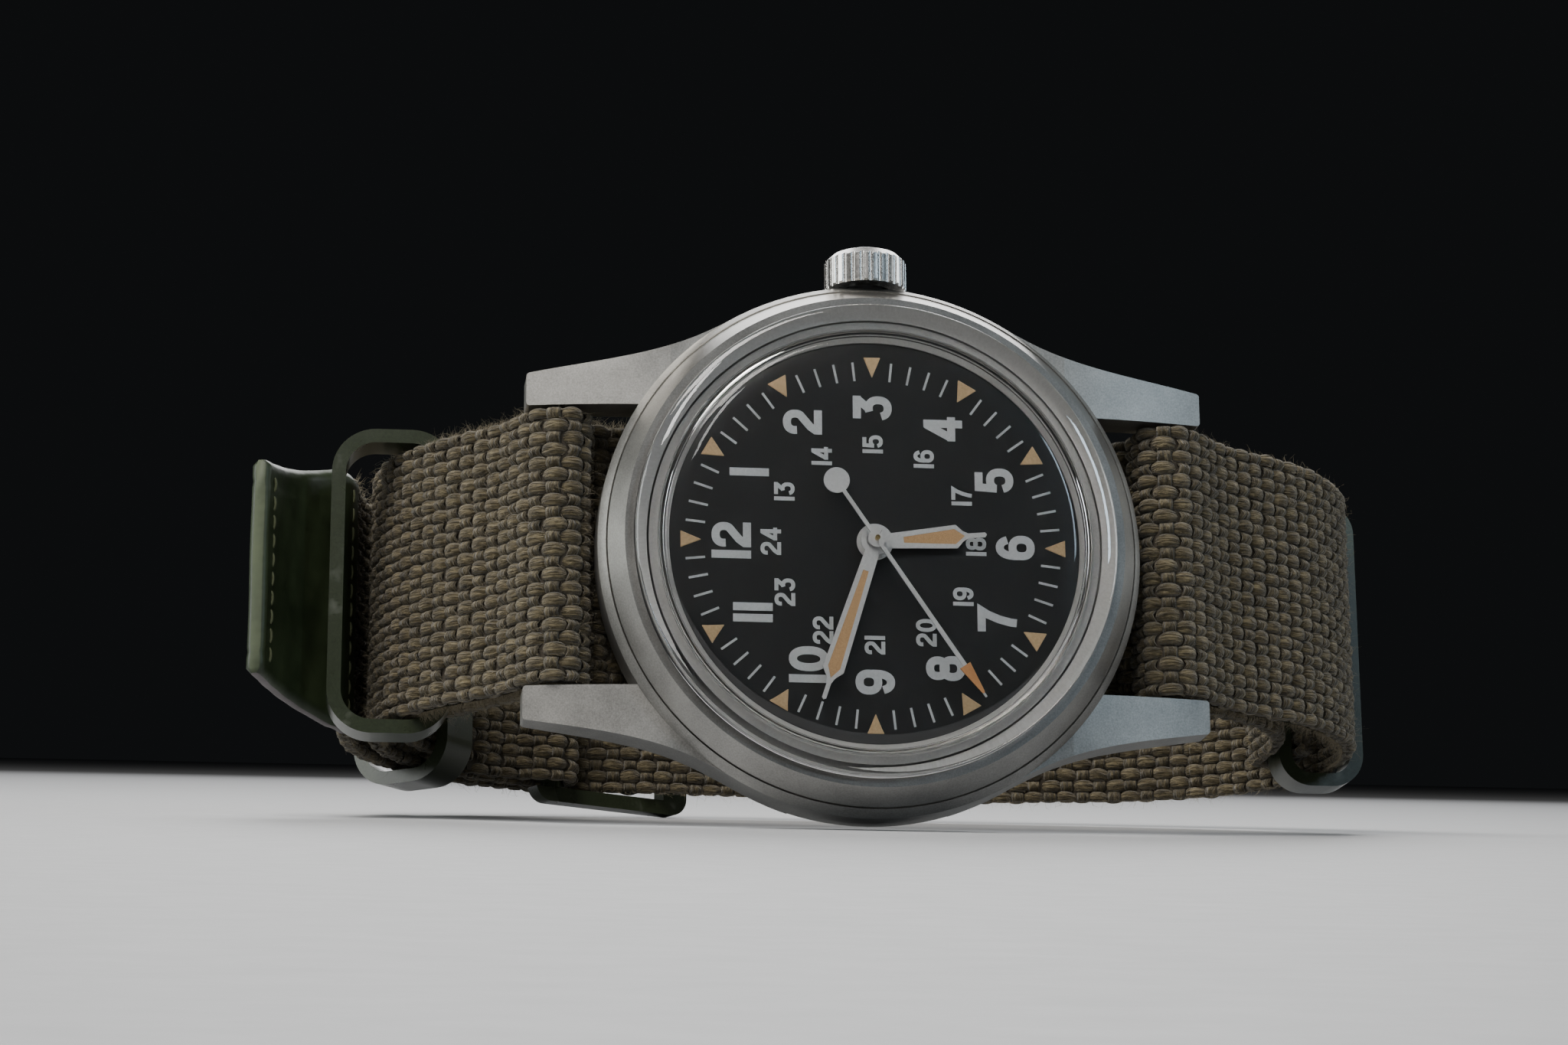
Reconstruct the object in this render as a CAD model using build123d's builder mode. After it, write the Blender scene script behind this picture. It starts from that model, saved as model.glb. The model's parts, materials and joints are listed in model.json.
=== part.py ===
"""Hand-wound field wristwatch on a one-piece pull-through canvas strap.

Everything is drawn on the bench: the watch lies on its back, +X points to 6 o'clock, +Y to 3 o'clock
(the crown), +Z out of the dial, and Z = 0 is the dial's upper face. At the end every piece is stood up
on the 9 o'clock side of its case, leaning back on its strap, with +Z up and the dial facing -Y.
All lengths are millimetres.
"""
from build123d import *
import math
import os

# ---------------------------------------------------------------- driving dimensions

# case
CASE_R = 19.05              # outer radius of the middle case
RIM_Z = -0.87               # where the flank meets the sloping rim
RIM_R = 18.55               # inner edge of that rim, at Z = 0
FLANK_Z = -4.24             # lower end of the flank
BACK_Z = -5.30              # outer face of the case back
LUG_GAP = 20.0              # strap width the lugs take
LUG_W = 2.35                # width of a lug at its tip
LUG_TIP = 24.0              # lug tip from the centre, along X
LUG_TIP_Z = -2.25           # upper face of a lug at its tip
LUG_THICK = 2.55            # thickness of a lug at its tip
BAR_X = 21.6                # spring bar axis from the centre
BAR_Z = -3.55               # spring bar axis height
BAR_R = 0.75
MOVEMENT_R = 12.8           # 25.6 mm hand-wound movement
STEM_Z = -2.30              # axis of the winding stem

# glass and bezel
BEZEL_Z = 1.94              # flat top of the bezel
BEZEL_FLAT_R = 17.40        # outer edge of that flat
GLASS_R = 16.75
GLASS_SEAT_Z = 0.62
GLASS_SHOULDER_Z = 2.45
GLASS_TOP_Z = 4.10
GLASS_INNER_R = 15.05
DIAL_OPEN_R = 14.55         # visible radius of the dial
DIAL_R = 15.2
DIAL_T = 0.40

# seats, holes and fasteners inside the case
CASE_OPEN_R = MOVEMENT_R + 1.10
SEAT_Z = -0.12              # seat of the bezel on the case
BEZEL_OUT_R = RIM_R - 0.12
LEDGE_R = 15.65             # ledge under the glass
LEDGE_Z = 0.30
GLASS_UNDER_Z = 2.92        # underside of the glass at its centre
DIAL_WELL_R = 15.25
DIAL_HOLE_R = 1.10
BACK_SEAL_R = 14.8
BAR_PIN_R = 0.40
STEM_R = 0.50
TUBE_R = 1.25
TUBE_END_Y = 19.95
CROWN_R = 2.90
CROWN_Y = 19.20             # inner face of the crown, pushed home
CROWN_H = 3.00
SCREW_R = 0.22
SCREW_HEAD_R = 0.45
CENTRE_BUSH_R = 0.85
CENTRE_ARBOR_R = 0.40
BARREL_ARBOR_R = 0.50
MINUTE_POST_R = 0.18
MOTION_POCKET_R = 5.40
ARBOR_R = 0.20
SECOND_ARBOR_R = 0.17
CANNON_TUBE_R = 0.68
HOUR_PIPE_R = 0.92
BARREL_R = 5.00
RATCHET_LOW_Z = -3.66
RATCHET_HIGH_Z = -3.44
CLICK_XY = (-10.9, 0.4)
PALLET_FOOT_XY = (1.5, -8.3)
SETTING_XY = (2.6, 9.6)
YOKE_XY = (-2.9, 6.9)
LEVER_Z = -0.80
LEVER_T = 0.24
CROWN_FLUTES = 28
CROWN_SEAL_R = 1.72
SETTING_FLOOR_Z = -0.88     # floor of the pocket for the setting work, under the dial

# strap
STRAP_W = 19.6
STRAP_T = 1.30
BAND_ARC = 1.5              # length of one arc along a band's face
LEATHER_T = 1.40
LEATHER_W = 19.2
LEATHER_TIP_HALF = 7.5      # half its width where the taper would reach X = -43
RING_T = 1.0                # wall of the metal keepers
RING_BAND = 3.2             # their width along the strap
BUCKLE_HALF = 11.2          # half the width of the buckle frame
UNDER_W = 18.0              # width of the short band against the wrist
BUCKLE_BAR = (-19.6, -38.4)     # pin bar, X and Z
BUCKLE_FAR = (-10.0, -43.3)     # far side of the frame, X and Z
BUCKLE_FRAME_T = 1.4
BUCKLE_BAR_R = 0.80
BUCKLE_RAIL_Y = 10.10       # inner face of the frame's side rails
TONGUE_HUB_R = 1.15
TONGUE_T = 0.90
TONGUE_W = 1.60

# hands: level of each, and how far it points clockwise from 12
HOUR_ANGLE = 174.7
MINUTE_ANGLE = 288.3
SECOND_ANGLE = 235.8
HAND_T = 0.15
HOUR_HAND_Z = 0.50
MINUTE_HAND_Z = 0.98
SECOND_HAND_Z = 1.48
ARBOR_TOP_Z = 1.95

# going train: tooth counts, centre distances and places on the bench
BARREL_TEETH = 80
CENTRE_PINION_TEETH = 12
CENTRE_TEETH = 64
THIRD_PINION_TEETH = 8
THIRD_TEETH = 60
SECOND_PINION_TEETH = 8
SECOND_TEETH = 72
ESCAPE_PINION_TEETH = 6
ESCAPE_TEETH = 15
BARREL_DIST = 6.10
BARREL_AT = 160.0           # degrees from +X
THIRD_DIST = 5.20
THIRD_AT = 0.0
ESCAPE_DIST = 5.10
ESCAPE_AT = -62.0
ESCAPE_R = 1.75
BALANCE_XY = (-2.6, -7.1)
BALANCE_R = 3.9
FORK_XY = (0.55, -5.45)
MINUTE_DIST = 2.90
MINUTE_AT = 60.0
CANNON_TEETH = 12
MINUTE_TEETH = 36
MINUTE_PINION_TEETH = 10
HOUR_TEETH = 40
RATCHET_TEETH = 38
CROWN_WHEEL_TEETH = 22
WINDING_TEETH = 14
CROWN_WHEEL_XY = (-1.6, 7.4)
PIVOT_R = 0.09
JEWEL_HOLE_R = 0.13
JEWEL_R = 0.55

# levels inside the movement
PLATE_TOP_Z = -0.45
PLATE_FLOOR_Z = -1.45       # floor of the train pocket
BRIDGE_Z = -2.95            # seat of the bridges
BRIDGE_OUT_Z = -3.40        # outer face of the bridges


def polar(dist, degrees):
    """Bench position at a distance and an angle from +X."""
    return (dist * math.cos(math.radians(degrees)), dist * math.sin(math.radians(degrees)))


def between(a, b):
    """Distance between two bench positions."""
    return math.hypot(a[0] - b[0], a[1] - b[1])


BARREL_XY = polar(BARREL_DIST, BARREL_AT)
THIRD_XY = polar(THIRD_DIST, THIRD_AT)
ESCAPE_XY = polar(ESCAPE_DIST, ESCAPE_AT)
MINUTE_XY = polar(MINUTE_DIST, MINUTE_AT)
BARREL_SCREWS = [polar(12.2, 75), polar(12.2, 160), polar(12.2, 200)]
TRAIN_SCREWS = [polar(12.2, -45), polar(12.2, 35)]
COCK_SCREW = polar(12.2, 226)

pieces = {}


def keep(name, builder):
    """File a finished piece under its name."""
    pieces[name] = builder.part


# ---------------------------------------------------------------- shared shapes

def gear_points(teeth, module, phase=0.0):
    """Outline of a wheel with straight-sided teeth; a tooth is centred on the phase angle."""
    pitch_r = module * teeth / 2
    root_r = pitch_r - 1.15 * module
    tip_r = pitch_r + 0.80 * module
    step = 360.0 / teeth
    outline = []
    for index in range(teeth):
        centre = phase + index * step
        for offset, radius in ((-0.31, root_r), (-0.11, tip_r), (0.11, tip_r), (0.31, root_r)):
            outline.append(polar(radius, centre + offset * step))
    return outline


def mesh_phase(teeth, direction, mate_teeth, mate_phase=0.0):
    """Phase that drops this wheel's teeth into the mate's gaps.

    direction is the angle from the mate's centre to this wheel's centre.
    """
    past_tooth = ((direction - mate_phase) * mate_teeth / 360.0) % 1.0
    return direction + 180.0 - (0.5 - past_tooth) * 360.0 / teeth


def extrude_gear(teeth, module, low, high, phase=0.0, mode=Mode.ADD):
    """One toothed disc on the part that is open."""
    with BuildSketch(Plane.XY.offset(low)) as outline:
        with BuildLine():
            Polyline(*gear_points(teeth, module, phase), close=True)
        make_face()
    extrude(outline.sketch, amount=high - low, mode=mode)


def disc(radius, low, high, mode=Mode.ADD):
    """A plain disc or a shaft section on the part that is open."""
    with BuildSketch(Plane.XY.offset(low)) as outline:
        Circle(radius)
    extrude(outline.sketch, amount=high - low, mode=mode)


def spokes(inner_r, outer_r, width, low, high, count):
    """Cut the windows between the arms of a wheel."""
    with BuildSketch(Plane.XY.offset(low)) as windows:
        Circle(outer_r)
        Circle(inner_r, mode=Mode.SUBTRACT)
        with PolarLocations(0, count):
            Rectangle(outer_r + 1, width, align=(Align.MIN, Align.CENTER), mode=Mode.SUBTRACT)
    extrude(windows.sketch, amount=high - low, mode=Mode.SUBTRACT)


def strip(points, thickness, width):
    """A band whose middle line runs smoothly through X, Z points, on the part that is open."""
    with BuildSketch(Plane.XZ) as section:
        with BuildLine():
            middle = Spline(*points, mode=Mode.PRIVATE)
            steps = 2 * round(middle.length / BAND_ARC)
            stations = [(middle @ (n / steps), middle % (n / steps)) for n in range(steps + 1)]
            ends = []
            for offset in (thickness / 2, -thickness / 2):
                side = [(at.X - offset * way.Y, at.Y + offset * way.X) for at, way in stations]
                for n in range(0, steps, 2):
                    ThreePointArc(side[n], side[n + 1], side[n + 2])
                ends.append((side[0], side[-1]))
            Line(ends[0][0], ends[1][0])
            Line(ends[0][1], ends[1][1])
        make_face()
    extrude(section.sketch, amount=width / 2, both=True)


def metal_loop(at, along, gap, corner):
    """A flat metal loop round the strap at X, Z, standing square to the direction along."""
    plane = Plane(origin=(at[0], 0, at[1]), x_dir=(0, 1, 0), z_dir=(along[0], 0, along[1]))
    half = BUCKLE_HALF
    with BuildSketch(plane.offset(-RING_BAND / 2)) as loop:
        RectangleRounded(2 * half, gap + 2 * RING_T, corner + RING_T)
        RectangleRounded(2 * (half - RING_T), gap, corner, mode=Mode.SUBTRACT)
    extrude(loop.sketch, amount=RING_BAND)


# ---------------------------------------------------------------- case

def lug(side_x, side_y):
    """One lug: it flows out of the flank, runs to the tip and returns along the strap gap."""
    inner = LUG_GAP / 2
    outer = inner + LUG_W
    with BuildSketch(Plane.XY.offset(-6.0)) as plan:
        with BuildLine():
            flow = Spline(
                (side_x * 5.6, side_y * 18.2),
                (side_x * 12.6, side_y * 14.9),
                (side_x * LUG_TIP, side_y * outer),
                tangents=((side_x * 0.955, side_y * -0.297), (side_x * 0.985, side_y * -0.17)),
            )
            Polyline(flow @ 1, (side_x * LUG_TIP, side_y * inner), (side_x * 14.0, side_y * inner), flow @ 0)
        make_face()
    extrude(plan.sketch, amount=6.0)


def lug_trim(side_x):
    """Everything above and below a pair of lugs, whose thickness tapers in a gentle curve to the tip."""
    start = side_x * 5.0
    end = side_x * (LUG_TIP + 1)
    with BuildSketch(Plane.XZ) as above:
        with BuildLine():
            top = ThreePointArc((side_x * 14.0, RIM_Z), (side_x * 19.5, -1.36), (end, LUG_TIP_Z - 0.18))
            Polyline(top @ 1, (end, 1.0), (start, 1.0), (start, RIM_Z), top @ 0)
        make_face()
    extrude(above.sketch, amount=30, both=True, mode=Mode.SUBTRACT)
    with BuildSketch(Plane.XZ) as below:
        with BuildLine():
            Polyline(
                (start, FLANK_Z + 0.02),
                (side_x * 15.0, FLANK_Z + 0.02),
                (end, LUG_TIP_Z - LUG_THICK),
                (end, -6.5),
                (start, -6.5),
                close=True,
            )
        make_face()
    extrude(below.sketch, amount=30, both=True, mode=Mode.SUBTRACT)


with BuildPart() as mid_case:
    for side_x in (-1, 1):
        for side_y in (-1, 1):
            lug(side_x, side_y)
        lug_trim(side_x)
    # the ring body, with the sloping rim and the seats for bezel, dial, movement and back
    with BuildSketch(Plane.XZ):
        with BuildLine():
            Polyline(
                (CASE_OPEN_R, FLANK_Z),
                (CASE_R - 0.25, FLANK_Z),
                (CASE_R, FLANK_Z + 0.25),
                (CASE_R, RIM_Z),
                (RIM_R, 0.0),
                (BEZEL_OUT_R, SEAT_Z),
                (DIAL_WELL_R, SEAT_Z),
                (DIAL_WELL_R, -DIAL_T - 0.02),
                (CASE_OPEN_R, -DIAL_T - 0.02),
                close=True,
            )
        make_face()
    revolve(axis=Axis.Z)
    # groove for the back's seal
    with BuildSketch(Plane.XY.offset(FLANK_Z)):
        Circle(BACK_SEAL_R + 0.4)
        Circle(BACK_SEAL_R - 0.4, mode=Mode.SUBTRACT)
    extrude(amount=0.45, mode=Mode.SUBTRACT)
    # blind holes for the spring bars' pins, and the hole for the crown tube
    for side_x in (-1, 1):
        with BuildSketch(Plane(origin=(side_x * BAR_X, 0, BAR_Z), x_dir=(1, 0, 0), z_dir=(0, 1, 0))):
            Circle(BAR_PIN_R + 0.02)
        extrude(amount=LUG_GAP / 2 + 1.3, both=True, mode=Mode.SUBTRACT)
    with BuildSketch(Plane(origin=(0, CASE_OPEN_R - 1, STEM_Z), x_dir=(1, 0, 0), z_dir=(0, 1, 0))):
        Circle(TUBE_R)
    extrude(amount=8, mode=Mode.SUBTRACT)
    tips = mid_case.edges().filter_by(Axis.Z).filter_by(
        lambda edge: abs(edge.center().X) > LUG_TIP - 0.01
    )
    fillet(tips, radius=0.25)
keep("mid_case", mid_case)

with BuildPart() as bezel_ring:
    with BuildSketch(Plane.XZ):
        with BuildLine():
            Polyline(
                (BEZEL_OUT_R, SEAT_Z),
                (BEZEL_OUT_R, 0.06),
                (BEZEL_FLAT_R, BEZEL_Z),
                (GLASS_R + 0.04, BEZEL_Z),
                (GLASS_R + 0.04, LEDGE_Z),
                (LEDGE_R, LEDGE_Z),
                (LEDGE_R, SEAT_Z),
                close=True,
            )
        make_face()
    revolve(axis=Axis.Z)
keep("bezel_ring", bezel_ring)

def dome_arc(edge_r, edge_z, top_z):
    """Section of a shallow dome, from its edge up to the axis, centred on the axis."""
    rise = top_z - edge_z
    radius = (edge_r ** 2 + rise ** 2) / (2 * rise)
    start = math.degrees(math.acos(edge_r / radius))
    return CenterArc((0, top_z - radius), radius, start, 90 - start)


with BuildPart() as glass:
    with BuildSketch(Plane.XZ):
        with BuildLine():
            shoulder = ThreePointArc((GLASS_R, GLASS_SHOULDER_Z), (16.60, 2.80), (16.22, 2.98))
            dome = dome_arc(16.22, 2.98, GLASS_TOP_Z)
            hollow = dome_arc(14.10, 2.12, GLASS_UNDER_Z)
            Line(dome @ 1, hollow @ 1)
            inner = ThreePointArc(hollow @ 0, (14.85, 1.80), (GLASS_INNER_R, 1.20))
            Polyline(inner @ 1, (GLASS_INNER_R, GLASS_SEAT_Z), (GLASS_R, GLASS_SEAT_Z), shoulder @ 0)
        make_face()
    revolve(axis=Axis.Z)
keep("crystal", glass)

with BuildPart() as crystal_gasket:
    with BuildSketch(Plane.XY.offset(LEDGE_Z)):
        Circle(GLASS_R)
        Circle(LEDGE_R + 0.1, mode=Mode.SUBTRACT)
    extrude(amount=GLASS_SEAT_Z - LEDGE_Z)
keep("crystal_gasket", crystal_gasket)

with BuildPart() as rehaut_ring:
    with BuildSketch(Plane.XZ):
        with BuildLine():
            Polyline(
                (DIAL_OPEN_R, 0.0),
                (LEDGE_R - 0.05, 0.0),
                (LEDGE_R - 0.05, GLASS_SEAT_Z - 0.05),
                (DIAL_OPEN_R + 0.5, GLASS_SEAT_Z - 0.05),
                (DIAL_OPEN_R, 0.18),
                close=True,
            )
        make_face()
    revolve(axis=Axis.Z)
keep("rehaut_ring", rehaut_ring)

with BuildPart() as dial:
    disc(DIAL_R, -DIAL_T, 0.0)
    disc(DIAL_HOLE_R, -DIAL_T, 0.0, mode=Mode.SUBTRACT)
keep("dial", dial)

with BuildPart() as case_back:
    with BuildSketch(Plane.XZ):
        with BuildLine():
            Polyline(
                (0, BACK_Z),
                (15.6, BACK_Z),
                (17.3, FLANK_Z - 0.42),
                (17.3, FLANK_Z - 0.01),
                (CASE_OPEN_R - 0.05, FLANK_Z - 0.01),
                (CASE_OPEN_R - 0.05, FLANK_Z + 0.32),
                (CASE_OPEN_R - 0.95, FLANK_Z + 0.32),
                (CASE_OPEN_R - 0.95, FLANK_Z - 0.05),
                (0, FLANK_Z - 0.05),
                close=True,
            )
        make_face()
    revolve(axis=Axis.Z)
    # six notches for the case wrench
    with BuildSketch(Plane.XY.offset(BACK_Z)):
        with PolarLocations(14.4, 6):
            Rectangle(1.3, 2.6)
    extrude(amount=0.45, mode=Mode.SUBTRACT)
keep("case_back", case_back)

with BuildPart() as case_back_gasket:
    with BuildSketch(Plane.XY.offset(FLANK_Z)):
        Circle(BACK_SEAL_R + 0.38)
        Circle(BACK_SEAL_R - 0.38, mode=Mode.SUBTRACT)
    extrude(amount=0.43)
keep("case_back_gasket", case_back_gasket)

with BuildPart() as crown_tube:
    with BuildSketch(Plane(origin=(0, CASE_OPEN_R + 0.5, STEM_Z), x_dir=(1, 0, 0), z_dir=(0, 1, 0))):
        Circle(TUBE_R)
        Circle(STEM_R + 0.35, mode=Mode.SUBTRACT)
    extrude(amount=TUBE_END_Y - CASE_OPEN_R - 0.5)
keep("crown_tube", crown_tube)

with BuildPart() as spring_bars:
    for side_x in (-1, 1):
        with BuildSketch(Plane(origin=(side_x * BAR_X, 0, BAR_Z), x_dir=(1, 0, 0), z_dir=(0, 1, 0))):
            Circle(BAR_R)
        extrude(amount=LUG_GAP / 2 - 0.12, both=True)
        with BuildSketch(Plane(origin=(side_x * BAR_X, 0, BAR_Z), x_dir=(1, 0, 0), z_dir=(0, 1, 0))):
            Circle(BAR_PIN_R)
        extrude(amount=LUG_GAP / 2 + 1.1, both=True)
keep("spring_bars", spring_bars)

# ---------------------------------------------------------------- movement: plate and bridges

def post_holes(spots, radius, low, high):
    """Round holes through a plate or a bridge at several places."""
    with BuildSketch(Plane.XY.offset(low)) as holes:
        with Locations(*spots):
            Circle(radius)
    extrude(holes.sketch, amount=high - low, mode=Mode.SUBTRACT)


def bridge_sector(start, end):
    """A bridge that covers the movement from start to end degrees."""
    reach = MOVEMENT_R - 0.1
    with BuildSketch(Plane.XY.offset(BRIDGE_OUT_Z)) as plan:
        with BuildLine():
            rim = CenterArc((0, 0), reach, start, end - start)
            Polyline(rim @ 1, (0, 0), rim @ 0)
        make_face()
    extrude(plan.sketch, amount=BRIDGE_Z - BRIDGE_OUT_Z)


with BuildPart() as main_plate:
    disc(MOVEMENT_R, BRIDGE_Z, PLATE_TOP_Z)
    # pocket for the train, the balance and the barrel
    disc(MOVEMENT_R - 1.0, BRIDGE_Z, PLATE_FLOOR_Z, mode=Mode.SUBTRACT)
    # pockets under the dial for the motion work and the setting work
    disc(MOTION_POCKET_R, -1.02, PLATE_TOP_Z, mode=Mode.SUBTRACT)
    with BuildSketch(Plane.XY.offset(SETTING_FLOOR_Z)):
        with Locations((0.2, 8.6)):
            RectangleRounded(8.8, 6.0, 1.0)
    extrude(amount=0.6, mode=Mode.SUBTRACT)
    # bed of the winding stem and its pinions
    with BuildSketch(Plane(origin=(0, 6.9, STEM_Z), x_dir=(1, 0, 0), z_dir=(0, 1, 0))):
        Circle(1.27)
    extrude(amount=8, mode=Mode.SUBTRACT)
    # seats of the lower jewels, the centre bearing and the minute wheel's post
    post_holes([THIRD_XY, ESCAPE_XY, FORK_XY, BALANCE_XY], JEWEL_R, PLATE_FLOOR_Z, PLATE_FLOOR_Z + 0.3)
    post_holes([(0, 0)], CENTRE_BUSH_R, PLATE_FLOOR_Z, PLATE_TOP_Z)
    post_holes([BARREL_XY], BARREL_ARBOR_R + 0.04, PLATE_FLOOR_Z, -1.05)
    with BuildSketch(Plane.XY.offset(-1.02)):
        with Locations(MINUTE_XY):
            Circle(MINUTE_POST_R)
    extrude(amount=0.52)
keep("main_plate", main_plate)

with BuildPart() as barrel_bridge:
    bridge_sector(56, 206)
    disc(1.2, BRIDGE_OUT_Z, BRIDGE_Z, mode=Mode.SUBTRACT)
    post_holes([BARREL_XY], BARREL_ARBOR_R + 0.04, BRIDGE_OUT_Z, BRIDGE_Z)
    post_holes(BARREL_SCREWS, SCREW_R + 0.01, BRIDGE_OUT_Z, BRIDGE_Z)
    # post that the crown wheel turns on, and the window where it meets the winding pinion
    with BuildSketch(Plane.XY.offset(BRIDGE_OUT_Z - 0.28)):
        with Locations(CROWN_WHEEL_XY):
            Circle(0.55)
    extrude(amount=0.30)
    with BuildSketch(Plane.XY.offset(BRIDGE_OUT_Z)):
        with Locations((0, 8.25)):
            Rectangle(2.1, 3.3)
    extrude(amount=BRIDGE_Z - BRIDGE_OUT_Z, mode=Mode.SUBTRACT)
keep("barrel_bridge", barrel_bridge)

with BuildPart() as train_bridge:
    bridge_sector(-72, 54)
    disc(1.2, BRIDGE_OUT_Z, BRIDGE_Z)
    post_holes([(0, 0), THIRD_XY, ESCAPE_XY], JEWEL_R, BRIDGE_OUT_Z, BRIDGE_Z)
    post_holes(TRAIN_SCREWS, SCREW_R + 0.01, BRIDGE_OUT_Z, BRIDGE_Z)
keep("train_bridge", train_bridge)

with BuildPart() as balance_cock:
    with BuildSketch(Plane.XY.offset(BRIDGE_OUT_Z)):
        with BuildLine():
            rim = CenterArc((0, 0), MOVEMENT_R - 0.1, 210, 32)
            Polyline(rim @ 1, BALANCE_XY, rim @ 0)
        make_face()
        with Locations(BALANCE_XY):
            Circle(1.5)
    extrude(amount=0.25)
    # the foot that stands on the plate's wall
    with BuildSketch(Plane.XY.offset(BRIDGE_OUT_Z + 0.25)):
        with BuildLine():
            outside = CenterArc((0, 0), MOVEMENT_R - 0.1, 212, 28)
            inside = CenterArc((0, 0), MOVEMENT_R - 0.95, 212, 28)
            Line(outside @ 0, inside @ 0)
            Line(outside @ 1, inside @ 1)
        make_face()
    extrude(amount=0.20)
    post_holes([BALANCE_XY], JEWEL_R, BRIDGE_OUT_Z, BRIDGE_Z)
    post_holes([COCK_SCREW], SCREW_R + 0.01, BRIDGE_OUT_Z, BRIDGE_Z)
keep("balance_cock", balance_cock)

with BuildPart() as jewels:
    lower = [THIRD_XY, ESCAPE_XY, FORK_XY, BALANCE_XY]
    upper = [THIRD_XY, ESCAPE_XY, BALANCE_XY]
    with BuildSketch(Plane.XY.offset(PLATE_FLOOR_Z)):
        with Locations(*lower):
            Circle(JEWEL_R)
            Circle(JEWEL_HOLE_R, mode=Mode.SUBTRACT)
    extrude(amount=0.28)
    with BuildSketch(Plane.XY.offset(BRIDGE_OUT_Z + 0.02)):
        with Locations(*upper):
            Circle(JEWEL_R)
            Circle(JEWEL_HOLE_R, mode=Mode.SUBTRACT)
    extrude(amount=0.22)
    # the centre seconds bearing, and the bush of the centre wheel
    with BuildSketch(Plane.XY.offset(BRIDGE_OUT_Z + 0.02)):
        Circle(JEWEL_R)
        Circle(JEWEL_HOLE_R, mode=Mode.SUBTRACT)
    extrude(amount=0.22)
    with BuildSketch(Plane.XY.offset(PLATE_FLOOR_Z)):
        Circle(CENTRE_BUSH_R)
        Circle(CENTRE_ARBOR_R + 0.03, mode=Mode.SUBTRACT)
    extrude(amount=0.40)
keep("jewels", jewels)

with BuildPart() as movement_ring:
    with BuildSketch(Plane.XY.offset(-3.30)):
        Circle(CASE_OPEN_R - 0.02)
        Circle(MOVEMENT_R + 0.02, mode=Mode.SUBTRACT)
    extrude(amount=2.80)
    with BuildSketch(Plane(origin=(0, MOVEMENT_R - 1, STEM_Z), x_dir=(1, 0, 0), z_dir=(0, 1, 0))):
        Circle(1.2)
    extrude(amount=3, mode=Mode.SUBTRACT)
keep("movement_ring", movement_ring)


def screw(at, low, head_low, shank_high):
    """A slotted screw, head outwards, on the part that is open."""
    with BuildSketch(Plane.XY.offset(low)) as shank:
        with Locations(at):
            Circle(SCREW_R)
    extrude(shank.sketch, amount=shank_high - low)
    with BuildSketch(Plane.XY.offset(head_low)) as head:
        with Locations(at):
            Circle(SCREW_HEAD_R)
    extrude(head.sketch, amount=low - head_low)
    with BuildSketch(Plane.XY.offset(head_low)) as slot:
        with Locations(at):
            Rectangle(3 * SCREW_HEAD_R, 0.16)
    extrude(slot.sketch, amount=0.12, mode=Mode.SUBTRACT)


with BuildPart() as movement_screws:
    for spot in BARREL_SCREWS + TRAIN_SCREWS + [COCK_SCREW]:
        screw(spot, BRIDGE_OUT_Z, BRIDGE_OUT_Z - 0.25, BRIDGE_Z)
keep("movement_screws", movement_screws)

# a small cock under the balance carries the pallet fork's outer pivot
with BuildPart() as pallet_cock:
    with BuildSketch(Plane.XY.offset(-2.50)):
        with Locations(FORK_XY, PALLET_FOOT_XY):
            Circle(0.65)
        with BuildLine():
            Line(FORK_XY, PALLET_FOOT_XY)
        trace(line_width=1.0)
        with Locations(FORK_XY):
            Circle(JEWEL_HOLE_R, mode=Mode.SUBTRACT)
    extrude(amount=0.15)
    with BuildSketch(Plane.XY.offset(-2.36)):
        with Locations(PALLET_FOOT_XY):
            Circle(0.60)
    extrude(amount=PLATE_FLOOR_Z + 2.36)
keep("pallet_cock", pallet_cock)

# ---------------------------------------------------------------- movement: train, escapement, winding

def module_of(centre_distance, teeth_a, teeth_b):
    """Module of a pair from its centre distance."""
    return 2 * centre_distance / (teeth_a + teeth_b)


def arbor(low, high, low_pivot, high_pivot):
    """An arbor on the Z axis between two thin pivots."""
    disc(ARBOR_R, low, high)
    disc(PIVOT_R, low_pivot, low)
    disc(PIVOT_R, high, high_pivot)


def set_at(name, builder, at):
    """File a piece made round its own axis, moved to its place in the movement."""
    pieces[name] = Pos(at[0], at[1], 0) * builder.part


BARREL_MODULE = module_of(BARREL_DIST, BARREL_TEETH, CENTRE_PINION_TEETH)
CENTRE_MODULE = module_of(THIRD_DIST, CENTRE_TEETH, THIRD_PINION_TEETH)
THIRD_MODULE = module_of(THIRD_DIST, THIRD_TEETH, SECOND_PINION_TEETH)
SECOND_MODULE = module_of(ESCAPE_DIST, SECOND_TEETH, ESCAPE_PINION_TEETH)
CANNON_MODULE = module_of(MINUTE_DIST, CANNON_TEETH, MINUTE_TEETH)
HOUR_MODULE = module_of(MINUTE_DIST, MINUTE_PINION_TEETH, HOUR_TEETH)
WINDING_MODULE = module_of(between(BARREL_XY, CROWN_WHEEL_XY), RATCHET_TEETH, CROWN_WHEEL_TEETH)
CROWN_WHEEL_AT = math.degrees(math.atan2(CROWN_WHEEL_XY[1] - BARREL_XY[1], CROWN_WHEEL_XY[0] - BARREL_XY[0]))
PLATE_PIVOT_Z = PLATE_FLOOR_Z + 0.22
BRIDGE_PIVOT_Z = BRIDGE_OUT_Z + 0.08
ARBOR_LOW = -3.12
ARBOR_HIGH = -1.50

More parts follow.
